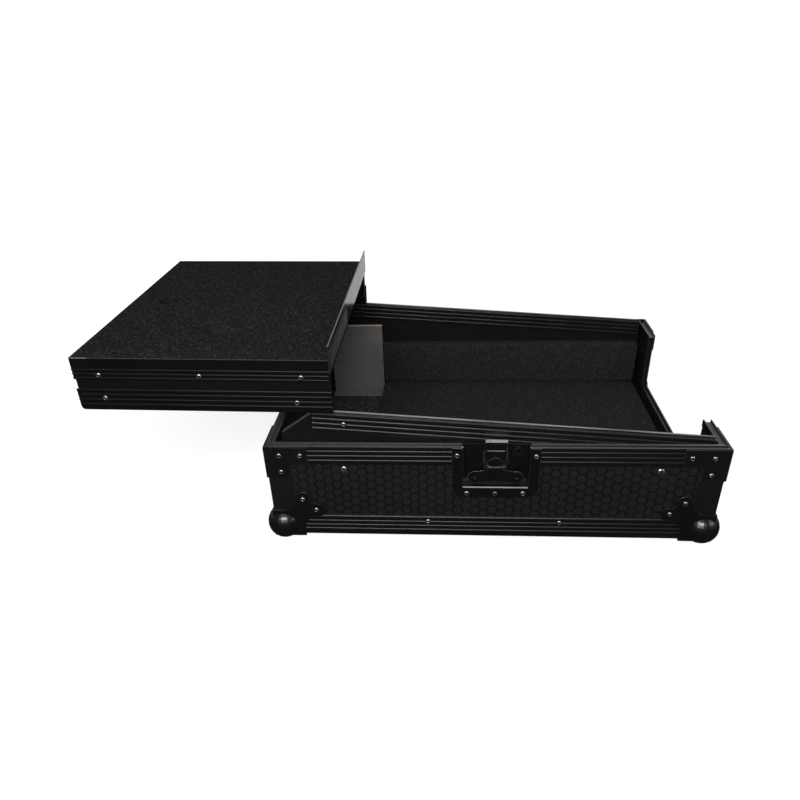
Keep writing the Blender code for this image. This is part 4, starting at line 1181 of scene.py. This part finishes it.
@dataclass(frozen=True)
class BaseFasteners:
    """Rivets and bolts of the base. Places are (x, z) in mm on a face, unless said otherwise.

    Attributes:
        brace: rivets of an L brace, from its corner.
        leaf: rivets of a ball corner's leaf, from its corner.
        leaf_lift: how far the leaf's face stands out of the wall's.
        trim: x of the bottom trim's rivets on a long face.
        end_trim: their distance from both ends of a short face.
        trim_z: their height.
        bolts: x of the panel bolts on a long face.
        bolt_z: their height.
        bolt_lift: how far the panel's face stands out of the trims'.
        latch: rivets of a latch's flange, x from its middle.
        latch_x: the near latch's middle.
        handle: distances of the handle's rivets from its middle.
        handle_z: height of its middle.
        flange_lift: how far the flanges of latch and handle stand out.
        rail_x: x of the rail's rivet in the base's frame.
        rail_drop: its distance below the rail's top.
    """

    brace: tuple = ((18.4, 128.2), (45.4, 128.4), (18.4, 103.4))
    leaf: tuple = ((41.9, 59.8), (58.9, 42.6))
    leaf_lift: float = 1.5
    trim: tuple = (206.9, 378.9)
    end_trim: float = 140.0
    trim_z: float = 25.0
    bolts: tuple = (100.1, 497.4)
    bolt_z: float = 105.8
    bolt_lift: float = -1.9
    latch: tuple = ((-49.0, 129.0), (49.1, 128.5), (-36.3, 71.0), (0.0, 71.0), (35.6, 71.6))
    latch_x: float = 293.5
    handle: tuple = ((-53.0, -33.0), (-53.0, 33.0), (53.0, -33.0), (53.0, 33.0))
    handle_z: float = 73.0
    flange_lift: float = -0.6
    rail_x: float = 103.5
    rail_drop: float = 12.6

    def face_rivets(self, side: Side) -> list:
        """Places of a face's rivets.

        Args:
            side: the face.

        Returns:
            The matrices in the base's frame.
        """
        length = side.length()
        places = []
        for group, lift in ((self.brace, BRACE_THICK), (self.leaf, self.leaf_lift)):
            places += [outward(place, z, lift) for x, z in group for place in (x, length - x)]
        long_face = side in (Side.NEAR, Side.FAR)
        trim = self.trim if long_face else (self.end_trim, length - self.end_trim)
        places += [outward(x, self.trim_z, 0.0) for x in trim]
        if long_face:
            middle = self.latch_x if side is Side.NEAR else length - self.latch_x
            places += [outward(middle + x, z, self.flange_lift) for x, z in self.latch]
        elif side is Side.REAR:
            places += [outward(length / 2.0 + x, self.handle_z + z, self.flange_lift) for x, z in self.handle]
        return [side.matrix() @ place for place in places]

    def fasteners(self) -> Fasteners:
        """Collects the rivets and bolts.

        Returns:
            The base's fasteners.
        """
        result = Fasteners(Body.BASE, base_matrix())
        for side in Side:
            result.rivets += self.face_rivets(side)
        for side in (Side.NEAR, Side.FAR):
            result.bolts += [side.matrix() @ outward(x, self.bolt_z, self.bolt_lift) for x in self.bolts]
        under = Matrix.Rotation(math.pi, 4, "X")
        result.rivets += [Matrix.Translation((px, py, -self.leaf_lift)) @ under for x, y in self.leaf
                          for px in (x, LENGTH - x) for py in (y, WIDTH - y)]
        x = (self.rail_x - RAIL_START[0]) / math.cos(RAIL_SLOPE)
        result.rivets.append(rail_matrix() @ outward(x, -self.rail_drop, -RAIL_INSET))
        result.rivets.append(rail_matrix() @ farward(x, WIDTH - RAIL_INSET, -self.rail_drop))
        return result


@dataclass(frozen=True)
class ShelfFasteners:
    """Rivets of the shelf's trims, in mm in the shelf's frame.

    Attributes:
        sides: (x, z) of the rivets on both long sides.
        rear_inset: distance of the outer rear rivets from the long sides.
        rear_z: height of the rear rivets.
    """

    sides: tuple = ((-267.5, 49.6), (-141.2, 49.6), (-15.6, 49.6), (-266.3, 17.8), (-23.5, 14.8))
    rear_inset: float = 60.0
    rear_z: float = 49.6

    def fasteners(self) -> Fasteners:
        """Collects the rivets.

        Returns:
            The shelf's fasteners.
        """
        result = Fasteners(Body.SHELF, shelf_matrix())
        for x, z in self.sides:
            result.rivets += [outward(x, z, 0.0), farward(x, SHELF_WIDTH, z)]
        rearward = Matrix.Rotation(-math.pi / 2.0, 4, "Y")
        for y in (self.rear_inset, SHELF_WIDTH / 2.0, SHELF_WIDTH - self.rear_inset):
            result.rivets.append(Matrix.Translation((-SHELF_REAR, y, self.rear_z)) @ rearward)
        return result


@dataclass(frozen=True)
class Brace:
    """Flat L brace wrapped round an upper corner of the base: a plate on each face.

    Attributes:
        name: the piece's name.
        side: the side that starts at the brace's corner.
        foot: height of the upright's lower end in mm.
        width: width of the upright.
        arm: reach of the arm along the face.
        arm_foot: height of the arm's lower edge.
        top: height of its upper edge.
        rounding: radius of its corners.
    """

    name: str
    side: Side
    foot: float = 94.0
    width: float = 30.5
    arm: float = 54.5
    arm_foot: float = 114.6
    top: float = HEIGHT - 0.4
    rounding: float = 1.2

    def outline(self, reach: float) -> list:
        """L outline in (x, z).

        Args:
            reach: how far the plate laps past the corner.

        Returns:
            The rounded outline.
        """
        corners = [(-reach, self.foot), (self.width, self.foot), (self.width, self.arm_foot),
                   (self.arm, self.arm_foot), (self.arm, self.top), (-reach, self.top)]
        return rounded(corners, self.rounding, 3)

    def build(self) -> bpy.types.Object:
        """Builds the brace.

        Returns:
            The new object.
        """
        here = plate(self.outline(BRACE_THICK), -BRACE_THICK, -SLEEVE).moved(self.side.matrix())
        mirror = [(-x, z) for x, z in reversed(self.outline(-SLEEVE))]
        other = self.side.before()
        corner = other.matrix() @ Matrix.Translation((other.length(), 0.0, 0.0))
        there = plate(mirror, -BRACE_THICK, -SLEEVE).moved(corner)
        piece = here.joined(there).object(self.name, STEEL, base_matrix())
        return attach(piece, Body.BASE.value)


# Soft pieces


def foam(piece: bpy.types.Object, node: str, body: Body) -> bpy.types.Object:
    """Hides the CAD pad that a piece of firm foam stands for and puts the piece on its body.

    Args:
        piece: the piece.
        node: the CAD node that it stands for.
        body: the body that it rides on.

    Returns:
        The piece.
    """
    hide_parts(node)
    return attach(piece, body.value)


@dataclass(frozen=True)
class FoamBlock:
    """Foam pad that stands for a plain CAD pad: a box with eased edges and faintly hollow faces.

    Attributes:
        name: the piece's name.
        node: the CAD node that it stands for.
        steps: quads along each edge.
        easing: how far the edges are eased, in metres.
        wave: height of the waves in its faces, in metres.
        hollow: depth at which they are cut off, in metres.
    """

    name: str
    node: str
    steps: int = 26
    easing: float = 0.0016
    wave: float = 0.00025
    hollow: float = 0.0002

    def shape(self, low: np.ndarray, high: np.ndarray) -> Shape:
        """Box surface c + h n, n on the cube, with x -> x (1 - e (y^10 + z^10) / 2) near its edges.

        e is the easing over the half size h, at most 0.3. The waves along x are sin(9 y + 1) sin(7 z).

        Args:
            low: lowest corner in metres.
            high: highest corner in metres.

        Returns:
            The closed shape in metres.
        """
        ticks = np.linspace(-1.0, 1.0, self.steps + 1)
        u, v = np.meshgrid(ticks, ticks, indexing="ij")
        one = np.ones_like(u)
        sides = [(u, v, one), (v, u, -one), (one, u, v), (-one, v, u), (v, one, u), (u, -one, v)]
        points = np.vstack([np.stack(side, axis=-1).reshape(-1, 3) for side in sides])
        quads = np.array(grid_faces(self.steps + 1, self.steps + 1, wrap_columns=False))
        faces = np.vstack([quads + number * u.size for number in range(len(sides))])
        p, merged = np.unique(np.round(points, 6), axis=0, return_inverse=True)
        faces = [tuple(face) for face in merged.reshape(-1)[faces].tolist()]
        half = (high - low) / 2.0
        ease = np.minimum(self.easing / half, 0.3)
        power = np.abs(p) ** 10
        shrink = 1.0 - ease * 0.5 * (power.sum(axis=1, keepdims=True) - power)
        waves = self.wave * np.sin(p[:, [1, 2, 0]] * 9.0 + 1.0) * np.sin(p[:, [2, 0, 1]] * 7.0)
        return Shape((low + high) / 2.0 + p * half * shrink + np.clip(waves, -self.hollow, 0.0), faces)

    def build(self) -> bpy.types.Object:
        """Builds the pad.

        Returns:
            The new object.
        """
        low, high = (np.array(corner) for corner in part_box(self.node))
        piece = self.shape(low, high).object(self.name, FOAM, Matrix.Identity(4))
        return foam(piece, self.node, Body.BASE)


def border_reach(direction: np.ndarray, centre: Sequence[float], low: Sequence[float],
                 high: Sequence[float]) -> np.ndarray:
    """Distance from a centre to a rectangle's border along each direction.

    Args:
        direction: unit directions, one per row.
        centre: the point that they start from.
        low: the rectangle's lowest corner.
        high: the rectangle's highest corner.

    Returns:
        The distances.
    """
    reach = np.full(len(direction), np.inf)
    for axis in (0, 1):
        for border in (low[axis], high[axis]):
            with np.errstate(divide="ignore", invalid="ignore"):
                distance = (border - centre[axis]) / direction[:, axis]
            reach = np.where(distance > 0.0, np.minimum(reach, distance), reach)
    return reach


@dataclass(frozen=True)
class LoopedSlab:
    """Slab with a hole: rays (1 - s) h(t) + s b(t) run from the hole's rim h to the border b.

    Attributes:
        low: lowest corner in mm.
        high: highest corner in mm.
        hole: half sizes of the hole.
        centre: the hole's centre (x, y).
        round_hole: whether the hole is a circle.
        step: optional inner rectangle (low, high) and the height of the underside outside it.
        lift: optional height added to the top at (x, y).
        rings: points along each ray.
        rays: number of rays, beside those to the corners.
        spread: power that draws the points on a ray towards the hole.
        start: angle from -X at which the rays start, which keeps them off the corners.
    """

    low: tuple
    high: tuple
    hole: tuple
    centre: tuple
    round_hole: bool = True
    step: Optional[tuple] = None
    lift: Optional[Callable] = None
    rings: int = 22
    rays: int = 240
    spread: float = 1.3
    start: float = 0.003

    def shape(self) -> Shape:
        """Builds the surface.

        Returns:
            The closed shape, whose rows wrap both ways.
        """
        (x0, y0), (x1, y1) = self.low[:2], self.high[:2]
        cx, cy = self.centre
        corners = [math.atan2(y - cy, x - cx) for x in (x0, x1) for y in (y0, y1)]
        wide, tall = self.hole
        if not self.round_hole:
            corners += [math.atan2(y, x) for x in (-wide, wide) for y in (-tall, tall)]
        even = np.linspace(-math.pi, math.pi, self.rays, endpoint=False) + self.start
        t = np.sort(np.concatenate((even, corners)))
        direction = np.stack((np.cos(t), np.sin(t)), axis=-1)
        reach = border_reach(direction, self.centre, self.low, self.high)
        if self.round_hole:
            start = np.full(len(t), wide)
        else:
            start = border_reach(direction, (0.0, 0.0), (-wide, -tall), self.hole)
        s = np.linspace(0.0, 1.0, self.rings) ** self.spread
        span = start[None, :] + s[:, None] * (reach - start)[None, :]
        flat = np.array(self.centre)[None, None, :] + span[:, :, None] * direction[None, :, :]
        top = np.full(span.shape, self.high[2])
        if self.lift is not None:
            top = top + self.lift(flat[:, :, 0], flat[:, :, 1])
        under = [(reach, self.low[2]), (start, self.low[2])]
        if self.step is not None:
            inner = border_reach(direction, self.centre, self.step[0], self.step[1]) - SLEEVE
            under = [(reach, self.step[2]), (inner, self.step[2]), (inner, self.low[2]), (start, self.low[2])]
        upper = np.concatenate((flat, top[:, :, None]), axis=-1)
        rows = [upper.reshape(-1, 3)]
        for distance, height in under:
            place = np.array(self.centre)[None, :] + distance[:, None] * direction
            rows.append(np.column_stack((place, np.full(len(t), height))))
        faces = grid_faces(self.rings + len(under), len(t), wrap_rows=True)
        return Shape(np.vstack(rows), [tuple(reversed(face)) for face in faces])


def eased_border(low: Sequence[float], high: Sequence[float], depth: float, width: float,
                 ripple: float = 0.06) -> Callable:
    """Height that rounds a slab's border down by depth (1 - e / width)^2, e being how far in a point lies.

    Over the whole slab it adds ripple (sin(x / 17) sin(y / 21) - 1), x and y in mm.

    Args:
        low: lowest corner.
        high: highest corner.
        depth: how far the border drops.
        width: how far in the rounding reaches.
        ripple: height of the faint waves across it.

    Returns:
        The height at (x, y).
    """

    def lift(x: np.ndarray, y: np.ndarray) -> np.ndarray:
        """Height at a point.

        Args:
            x: places along the slab in mm.
            y: places across it in mm.

        Returns:
            The heights, all below 0.
        """
        edge = np.minimum(np.minimum(x - low[0], high[0] - x), np.minimum(y - low[1], high[1] - y))
        waves = ripple * (np.sin(x / 17.0) * np.sin(y / 21.0) - 1.0)
        return waves - depth * np.clip(1.0 - edge / width, 0.0, 1.0) ** 2

    return lift


@dataclass(frozen=True)
class ShelfFoam:
    """Foam sheet on the shelf, with the cable hole through it. Its border laps over the tops of the walls.

    Attributes:
        hole: radius of the cable hole in mm.
        hole_x: distance of its middle from the shelf's rear.
        inset: how far in from the shelf's sides the sheet's border lies.
        wall: how far in it steps down between the walls.
        front_gap: its distance from the lip.
        rise: height of its top over the walls' tops.
        sink: depth of its underside below them.
        lap_gap: height of its lapping border over them.
        round_depth: how far its border is rounded down.
        round_width: how far in that reaches.
    """

    hole: float = 14.0
    hole_x: float = 55.0
    inset: float = 0.5
    wall: float = 6.2
    front_gap: float = 2.2
    rise: float = 1.0
    sink: float = 1.0
    lap_gap: float = 0.08
    round_depth: float = 0.6
    round_width: float = 2.0

    def build(self) -> bpy.types.Object:
        """Builds the sheet.

        Returns:
            The new object.
        """
        front = SHELF_FRONT - self.front_gap
        low = (-SHELF_REAR + self.inset, self.inset, SHELF_HEIGHT - self.sink)
        high = (front, SHELF_WIDTH - self.inset, SHELF_HEIGHT + self.rise)
        step = ((-SHELF_REAR + self.wall, self.wall), (front, SHELF_WIDTH - self.wall),
                SHELF_HEIGHT + self.lap_gap)
        slab = LoopedSlab(low, high, (self.hole, self.hole), (-SHELF_REAR + self.hole_x, SHELF_WIDTH / 2.0),
                          step=step, lift=eased_border(low, high, self.round_depth, self.round_width))
        piece = slab.shape().object("shelf_foam_sheet", SHELF_FOAM, shelf_matrix())
        return foam(piece, "shelf_foam", Body.SHELF)


@dataclass(frozen=True)
class ShelfEdge:
    """Laminate edge along the top of the shelf's near wall: bare at the rear corner and rubbed further on.

    Attributes:
        rear_gap: distance from the shelf's rear in mm.
        bare: where the bare part ends, from the shelf's rear.
        front_gap: distance from the lip's plane.
        near: y of its near face.
        far: y of its far face.
        rise: height of its top over the wall's.
    """

    rear_gap: float = 0.5
    bare: float = 24.0
    front_gap: float = 2.4
    near: float = 0.03
    far: float = 0.44
    rise: float = 0.75

    def build(self) -> list:
        """Builds the two strips.

        Returns:
            The new objects.
        """
        rear, bare, front = -SHELF_REAR + self.rear_gap, -SHELF_REAR + self.bare, SHELF_FRONT - self.front_gap
        made = []
        for name, start, end, finish in (("bare", rear, bare, BARE_EDGE),
                                         ("rubbed", bare + SLEEVE, front, RUBBED_EDGE)):
            low = (start, self.near, SHELF_HEIGHT + SLEEVE)
            high = (end, self.far, SHELF_HEIGHT + self.rise)
            piece = block(low, high).object(f"shelf_edge_{name}", finish, shelf_matrix(), smooth=False)
            made.append(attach(piece, Body.SHELF.value))
        return made


@dataclass(frozen=True)
class RearFoam:
    """Foam pad inside the rear wall, with a window round the handle's dish, in (y, z, x) of the base.

    Attributes:
        low: lowest corner in mm.
        high: highest corner in mm.
        window: half sizes of the window.
        middle: the window's middle.
        round_depth: how far its border is rounded down.
        round_width: how far in that reaches.
    """

    low: tuple = (17.3, 10.7, 11.3)
    high: tuple = (400.7, 121.9, 19.1)
    window: tuple = (49.7, 29.7)
    middle: tuple = (WIDTH / 2.0, 73.0)
    round_depth: float = 0.9
    round_width: float = 2.5

    def build(self) -> bpy.types.Object:
        """Builds the pad.

        Returns:
            The new object.
        """
        slab = LoopedSlab(self.low, self.high, self.window, self.middle, round_hole=False, rings=16,
                          lift=eased_border(self.low, self.high, self.round_depth, self.round_width))
        turn = Matrix(((0, 0, 1, 0), (1, 0, 0, 0), (0, 1, 0, 0), (0, 0, 0, 1)))
        piece = slab.shape().object("rear_foam_pad", FOAM, base_matrix() @ turn)
        return foam(piece, "foam_rear", Body.BASE)


# Linings


@dataclass(frozen=True)
class Linings:
    """Ribbed mats, plain bands and the copper edge in the cable bay, in mm in the base's frame.

    Attributes:
        mat_x: where the mats start and end along the case.
        mat_z: lower and upper edge of a mat.
        band_z: the same for the plain band over it.
        turned_z: the same for the part that is turned in at its foot.
        turned: how far that part reaches in.
        thick: thickness of mat and band.
        edge_x: where the copper edge starts and ends.
        edge_z: its lower and upper edge.
        edge_thick: its thickness.
        floor_x: where the floor's mat starts and ends.
        floor_z: its lower and upper face.
        floor_gap: its distance from the risers.
    """

    mat_x: tuple = (24.0, 116.0)
    mat_z: tuple = (13.4, 121.5)
    band_z: tuple = (121.7, 141.5)
    turned_z: tuple = (12.1, 13.3)
    turned: float = 22.0
    thick: float = 1.4
    edge_x: tuple = (55.0, 116.5)
    edge_z: tuple = (141.6, 143.4)
    edge_thick: float = 2.4
    floor_x: tuple = (20.5, 116.5)
    floor_z: tuple = (10.6, 11.8)
    floor_gap: float = 1.6

    def layout(self) -> list:
        """Lays out the pieces.

        Returns:
            (name, x range, y range, z range, finish, slot) of each piece.
        """
        near, far = RISER_INSIDE, WIDTH - RISER_INSIDE
        start, end = near + SLEEVE, far - SLEEVE
        rows = []
        for name, wall, foot in (("near", (start, near + self.thick), (start, start + self.turned)),
                                 ("far", (far - self.thick, end), (end - self.turned, end))):
            rows += [(f"mat_{name}", self.mat_x, wall, self.mat_z, MAT, Slot.RUBBER),
                     (f"mat_band_{name}", self.mat_x, wall, self.band_z, BAND, Slot.RUBBER),
                     (f"mat_turned_{name}", self.mat_x, foot, self.turned_z, MAT, Slot.RUBBER)]
        edge_y, across = (far - self.edge_thick, end), (near + self.floor_gap, far - self.floor_gap)
        rows.append(("copper_edge", self.edge_x, edge_y, self.edge_z, COPPER, Slot.STEEL))
        rows.append(("mat_floor", self.floor_x, across, self.floor_z, FLOOR_MAT, Slot.RUBBER))
        return rows

    def build(self) -> list:
        """Builds the linings.

        Returns:
            The new objects.
        """
        pieces = []
        for name, x, y, z, finish, slot in self.layout():
            shape = block((x[0], y[0], z[0]), (x[1], y[1], z[1]))
            piece = shape.object(name, finish, base_matrix(), smooth=False)
            pieces.append(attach(piece, Body.BASE.value))
        return pieces


# CAD finishes

# The first row that has a beginning of a node's name gives the node's finish
CAD_FINISHES = (
    (("rim_rear", "rim_front", "bottom_trim_rear", "bottom_trim_front"), EXTRUSION_Y),
    (("shelf_edge_trim_rear", "shelf_lip_trim"), SHELF_TRIM_Y),
    (("rim_", "bottom_trim"), EXTRUSION_X),
    (("rail_",), RAIL),
    (("shelf_edge", "shelf_foot"), SHELF_TRIM_X),
    (("corner_angle",), SMOOTH_ANGLE),
    (("ball_corner",), BALL),
    (("wall_",), LAMINATE),
    (("riser",), RISER),
    (("shelf_wall_near",), SHELF_WALL_NEAR),
    (("shelf_wall",), SHELF_WALL),
    (("base_floor", "shelf_board"), PLYWOOD),
    (("shelf_lip",), LIP),
    (("foot", "handle_bail"), RUBBER),
    (("glide",), NYLON),
    (("shelf_foam",), SHELF_FOAM),
    (("foam",), FOAM),
    (("latch_dish", "handle_dish"), DISH),
    (("latch_hook",), HOOK),
    (("latch",), LATCH),
)


def dress_frame() -> None:
    """Gives every CAD node its finish."""
    for name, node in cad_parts.items():
        finish = next(finish for beginnings, finish in CAD_FINISHES if name.startswith(beginnings))
        for place in node.material_slots:
            place.material = finish.material()


# Studio


@dataclass(frozen=True)
class Softbox:
    """Area light aimed at a point.

    Attributes:
        name: the light's name.
        place: where it hangs, in metres.
        target: what it points at.
        size: width and height in metres.
        power: watts.
    """

    name: str
    place: tuple
    target: tuple
    size: tuple
    power: float

    def build(self) -> bpy.types.Object:
        """Builds the light.

        Returns:
            The light object.
        """
        data = bpy.data.lights.new(self.name, "AREA")
        data.shape = "RECTANGLE"
        data.size, data.size_y = self.size
        data.energy = self.power
        made = bpy.data.objects.new(self.name, data)
        aim = Vector(self.target) - Vector(self.place)
        made.rotation_euler = aim.to_track_quat("-Z", "Y").to_euler()
        made.location = self.place
        bpy.context.scene.collection.objects.link(made)
        return made


SOFTBOXES = (
    Softbox("key", (-0.15, -1.70, 1.35), (0.0, 0.0, 0.08), (1.25, 0.60), 34.5),
    Softbox("overhead", (0.15, 0.25, 1.60), (0.05, 0.0, 0.1), (1.0, 0.7), 4.0),
    Softbox("side", (1.55, -0.75, 0.75), (0.2, 0.0, 0.08), (0.5, 0.6), 3.5),
)


@dataclass(frozen=True)
class Studio:
    """White sweep: a pale floor, a white background and soft light.

    Attributes:
        ambient: strength of the background as a light.
        mirrored: its strength in mirrors in front of the case, and what is added behind it.
        turn: direction's Y from which to which that is added.
        half: half the floor's width in mm.
        depth: the floor's thickness in mm.
        grey: how bright the floor is.
        floor_mirrored: the floor's glow in mirrors in front of the case, and what is added behind it.
        floor_turn: Y in metres from which to which that is added.
        glow: the floor's glow for the camera at the case, and what is added further away.
        away: distance in metres from which to which that is added.
    """

    ambient: float = 0.22
    mirrored: tuple = (0.06, 0.70)
    turn: tuple = (-0.25, 0.55)
    half: float = 6000.0
    depth: float = 5.0
    grey: float = 0.30
    floor_mirrored: tuple = (0.03, 0.62)
    floor_turn: tuple = (0.20, 0.65)
    glow: tuple = (0.85, 0.22)
    away: tuple = (0.55, 1.3)

    def world(self) -> None:
        """White for the camera, and for mirrors white behind the case and dim in front of it."""
        world = bpy.data.worlds.new("studio")
        world.use_nodes = True
        bpy.context.scene.world = world
        world.node_tree.nodes.clear()
        graph = Graph(world.node_tree)
        path = graph.add("LightPath").outputs
        seen = graph.math("MAXIMUM", path["Is Camera Ray"], path["Is Transmission Ray"])
        across = graph.axes(graph.add("TexCoord").outputs["Generated"])
        behind = graph.ramp(across[1], *self.turn)
        glossy = graph.plus(graph.times(behind, self.mirrored[1]), self.mirrored[0])
        level = graph.blend(seen, graph.blend(path["Is Glossy Ray"], self.ambient, glossy), 1.0)
        background = graph.add("Background", Color=opaque((1.0, 1.0, 1.0)), Strength=level)
        world.node_tree.links.new(background.outputs[0], graph.add("OutputWorld").inputs[0])

    def floor_material(self) -> bpy.types.Material:
        """Grey for the light that falls on it, with a glow of its own for the camera and in mirrors.

        Returns:
            The floor's material.
        """
        made = bpy.data.materials.new("pale_floor")
        made.use_nodes = True
        made.node_tree.nodes.clear()
        graph = Graph(made.node_tree)
        path = graph.add("LightPath").outputs
        diffuse = graph.add("BsdfDiffuse", Color=opaque((self.grey, self.grey, self.grey)))
        place = graph.place()
        behind = graph.ramp(graph.axes(place)[1], *self.floor_turn)
        away = graph.ramp(graph.vector("LENGTH", place).outputs["Value"], *self.away)
        mirrored = graph.plus(graph.times(behind, self.floor_mirrored[1]), self.floor_mirrored[0])
        glow = graph.plus(graph.times(away, self.glow[1]), self.glow[0])
        glossy = graph.add("Emission", Strength=mirrored)
        white = graph.add("Emission", Strength=glow)
        unseen = graph.add("MixShader", i0=path["Is Glossy Ray"], i1=diffuse.outputs[0], i2=glossy.outputs[0])
        seen = graph.add("AddShader", i0=white.outputs[0], i1=diffuse.outputs[0])
        last = graph.add("MixShader", i0=path["Is Camera Ray"], i1=unseen.outputs[0], i2=seen.outputs[0])
        made.node_tree.links.new(last.outputs[0], graph.add("OutputMaterial").inputs[0])
        return made

    def floor(self) -> bpy.types.Object:
        """Builds the floor.

        Returns:
            The floor.
        """
        half = self.half
        shape = plate([(-half, -half), (half, -half), (half, half), (-half, half)], 0.0, self.depth)
        lie = Matrix.Scale(MM, 4) @ Matrix.Rotation(-math.pi / 2.0, 4, "X")
        floor = shape.object("floor", BAND, lie, smooth=False)
        floor.data.materials[0] = self.floor_material()
        return floor

    def build(self) -> None:
        """Builds the studio."""
        self.world()
        self.floor()
        for softbox in SOFTBOXES:
            softbox.build()
        bpy.context.scene.view_settings.view_transform = "Standard"


@dataclass(frozen=True)
class Viewpoint:
    """Camera fitted to the photo.

    Attributes:
        place: where it stands, in mm in the base's frame.
        yaw: turn from +Y towards +X, in degrees.
        pitch: look down, in degrees.
        roll: clockwise roll, in degrees.
        lens: focal length in mm.
        sensor: the sensor's width in mm.
        shift: principal point's shift.
    """

    place: tuple = (233.3, -695.6, 591.3)
    yaw: float = -4.54
    pitch: float = 29.9
    roll: float = 2.11
    lens: float = 29.93
    sensor: float = 36.0
    shift: tuple = (-0.003, 0.0169)

    def build(self) -> bpy.types.Object:
        """Builds the camera and makes it the scene's.

        Returns:
            The camera.
        """
        yaw, pitch, roll = (math.radians(value) for value in (self.yaw, self.pitch, self.roll))
        forward = Vector((math.sin(yaw) * math.cos(pitch), math.cos(yaw) * math.cos(pitch), -math.sin(pitch)))
        right = Vector((math.cos(yaw), -math.sin(yaw), 0.0))
        down = forward.cross(right)
        right = right * math.cos(roll) + down * math.sin(roll)
        up = right.cross(forward)
        place = base_matrix() @ Vector(self.place)
        matrix = Matrix((right, up, -forward)).transposed().to_4x4()
        data = bpy.data.cameras.new("photo_camera")
        data.lens = self.lens
        data.sensor_width = self.sensor
        data.shift_x, data.shift_y = self.shift
        camera = bpy.data.objects.new("photo_camera", data)
        camera.matrix_world = Matrix.Translation(place) @ matrix
        bpy.context.scene.collection.objects.link(camera)
        bpy.context.scene.camera = camera
        return camera


def main() -> None:
    """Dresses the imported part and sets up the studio."""
    logging.basicConfig(level=logging.INFO, format="%(message)s")
    dress_frame()
    pieces = BaseFasteners().fasteners().build() + ShelfFasteners().fasteners().build()
    corners = {Side.NEAR: "rear_near", Side.FRONT: "front_near", Side.FAR: "front_far", Side.REAR: "rear_far"}
    pieces += [Brace(f"brace_{name}", side).build() for side, name in corners.items()]
    pieces += [FoamBlock(f"{node}_pad", node).build() for node in ("foam_bed", "foam_near", "foam_far")]
    pieces += [ShelfFoam().build(), RearFoam().build()]
    pieces += ShelfEdge().build()
    pieces += Linings().build()
    Studio().build()
    Viewpoint().build()
    for piece in pieces:
        LOG.info("%s: %d faces", piece.name, len(piece.data.polygons))


if __name__ == "__main__":
    main()
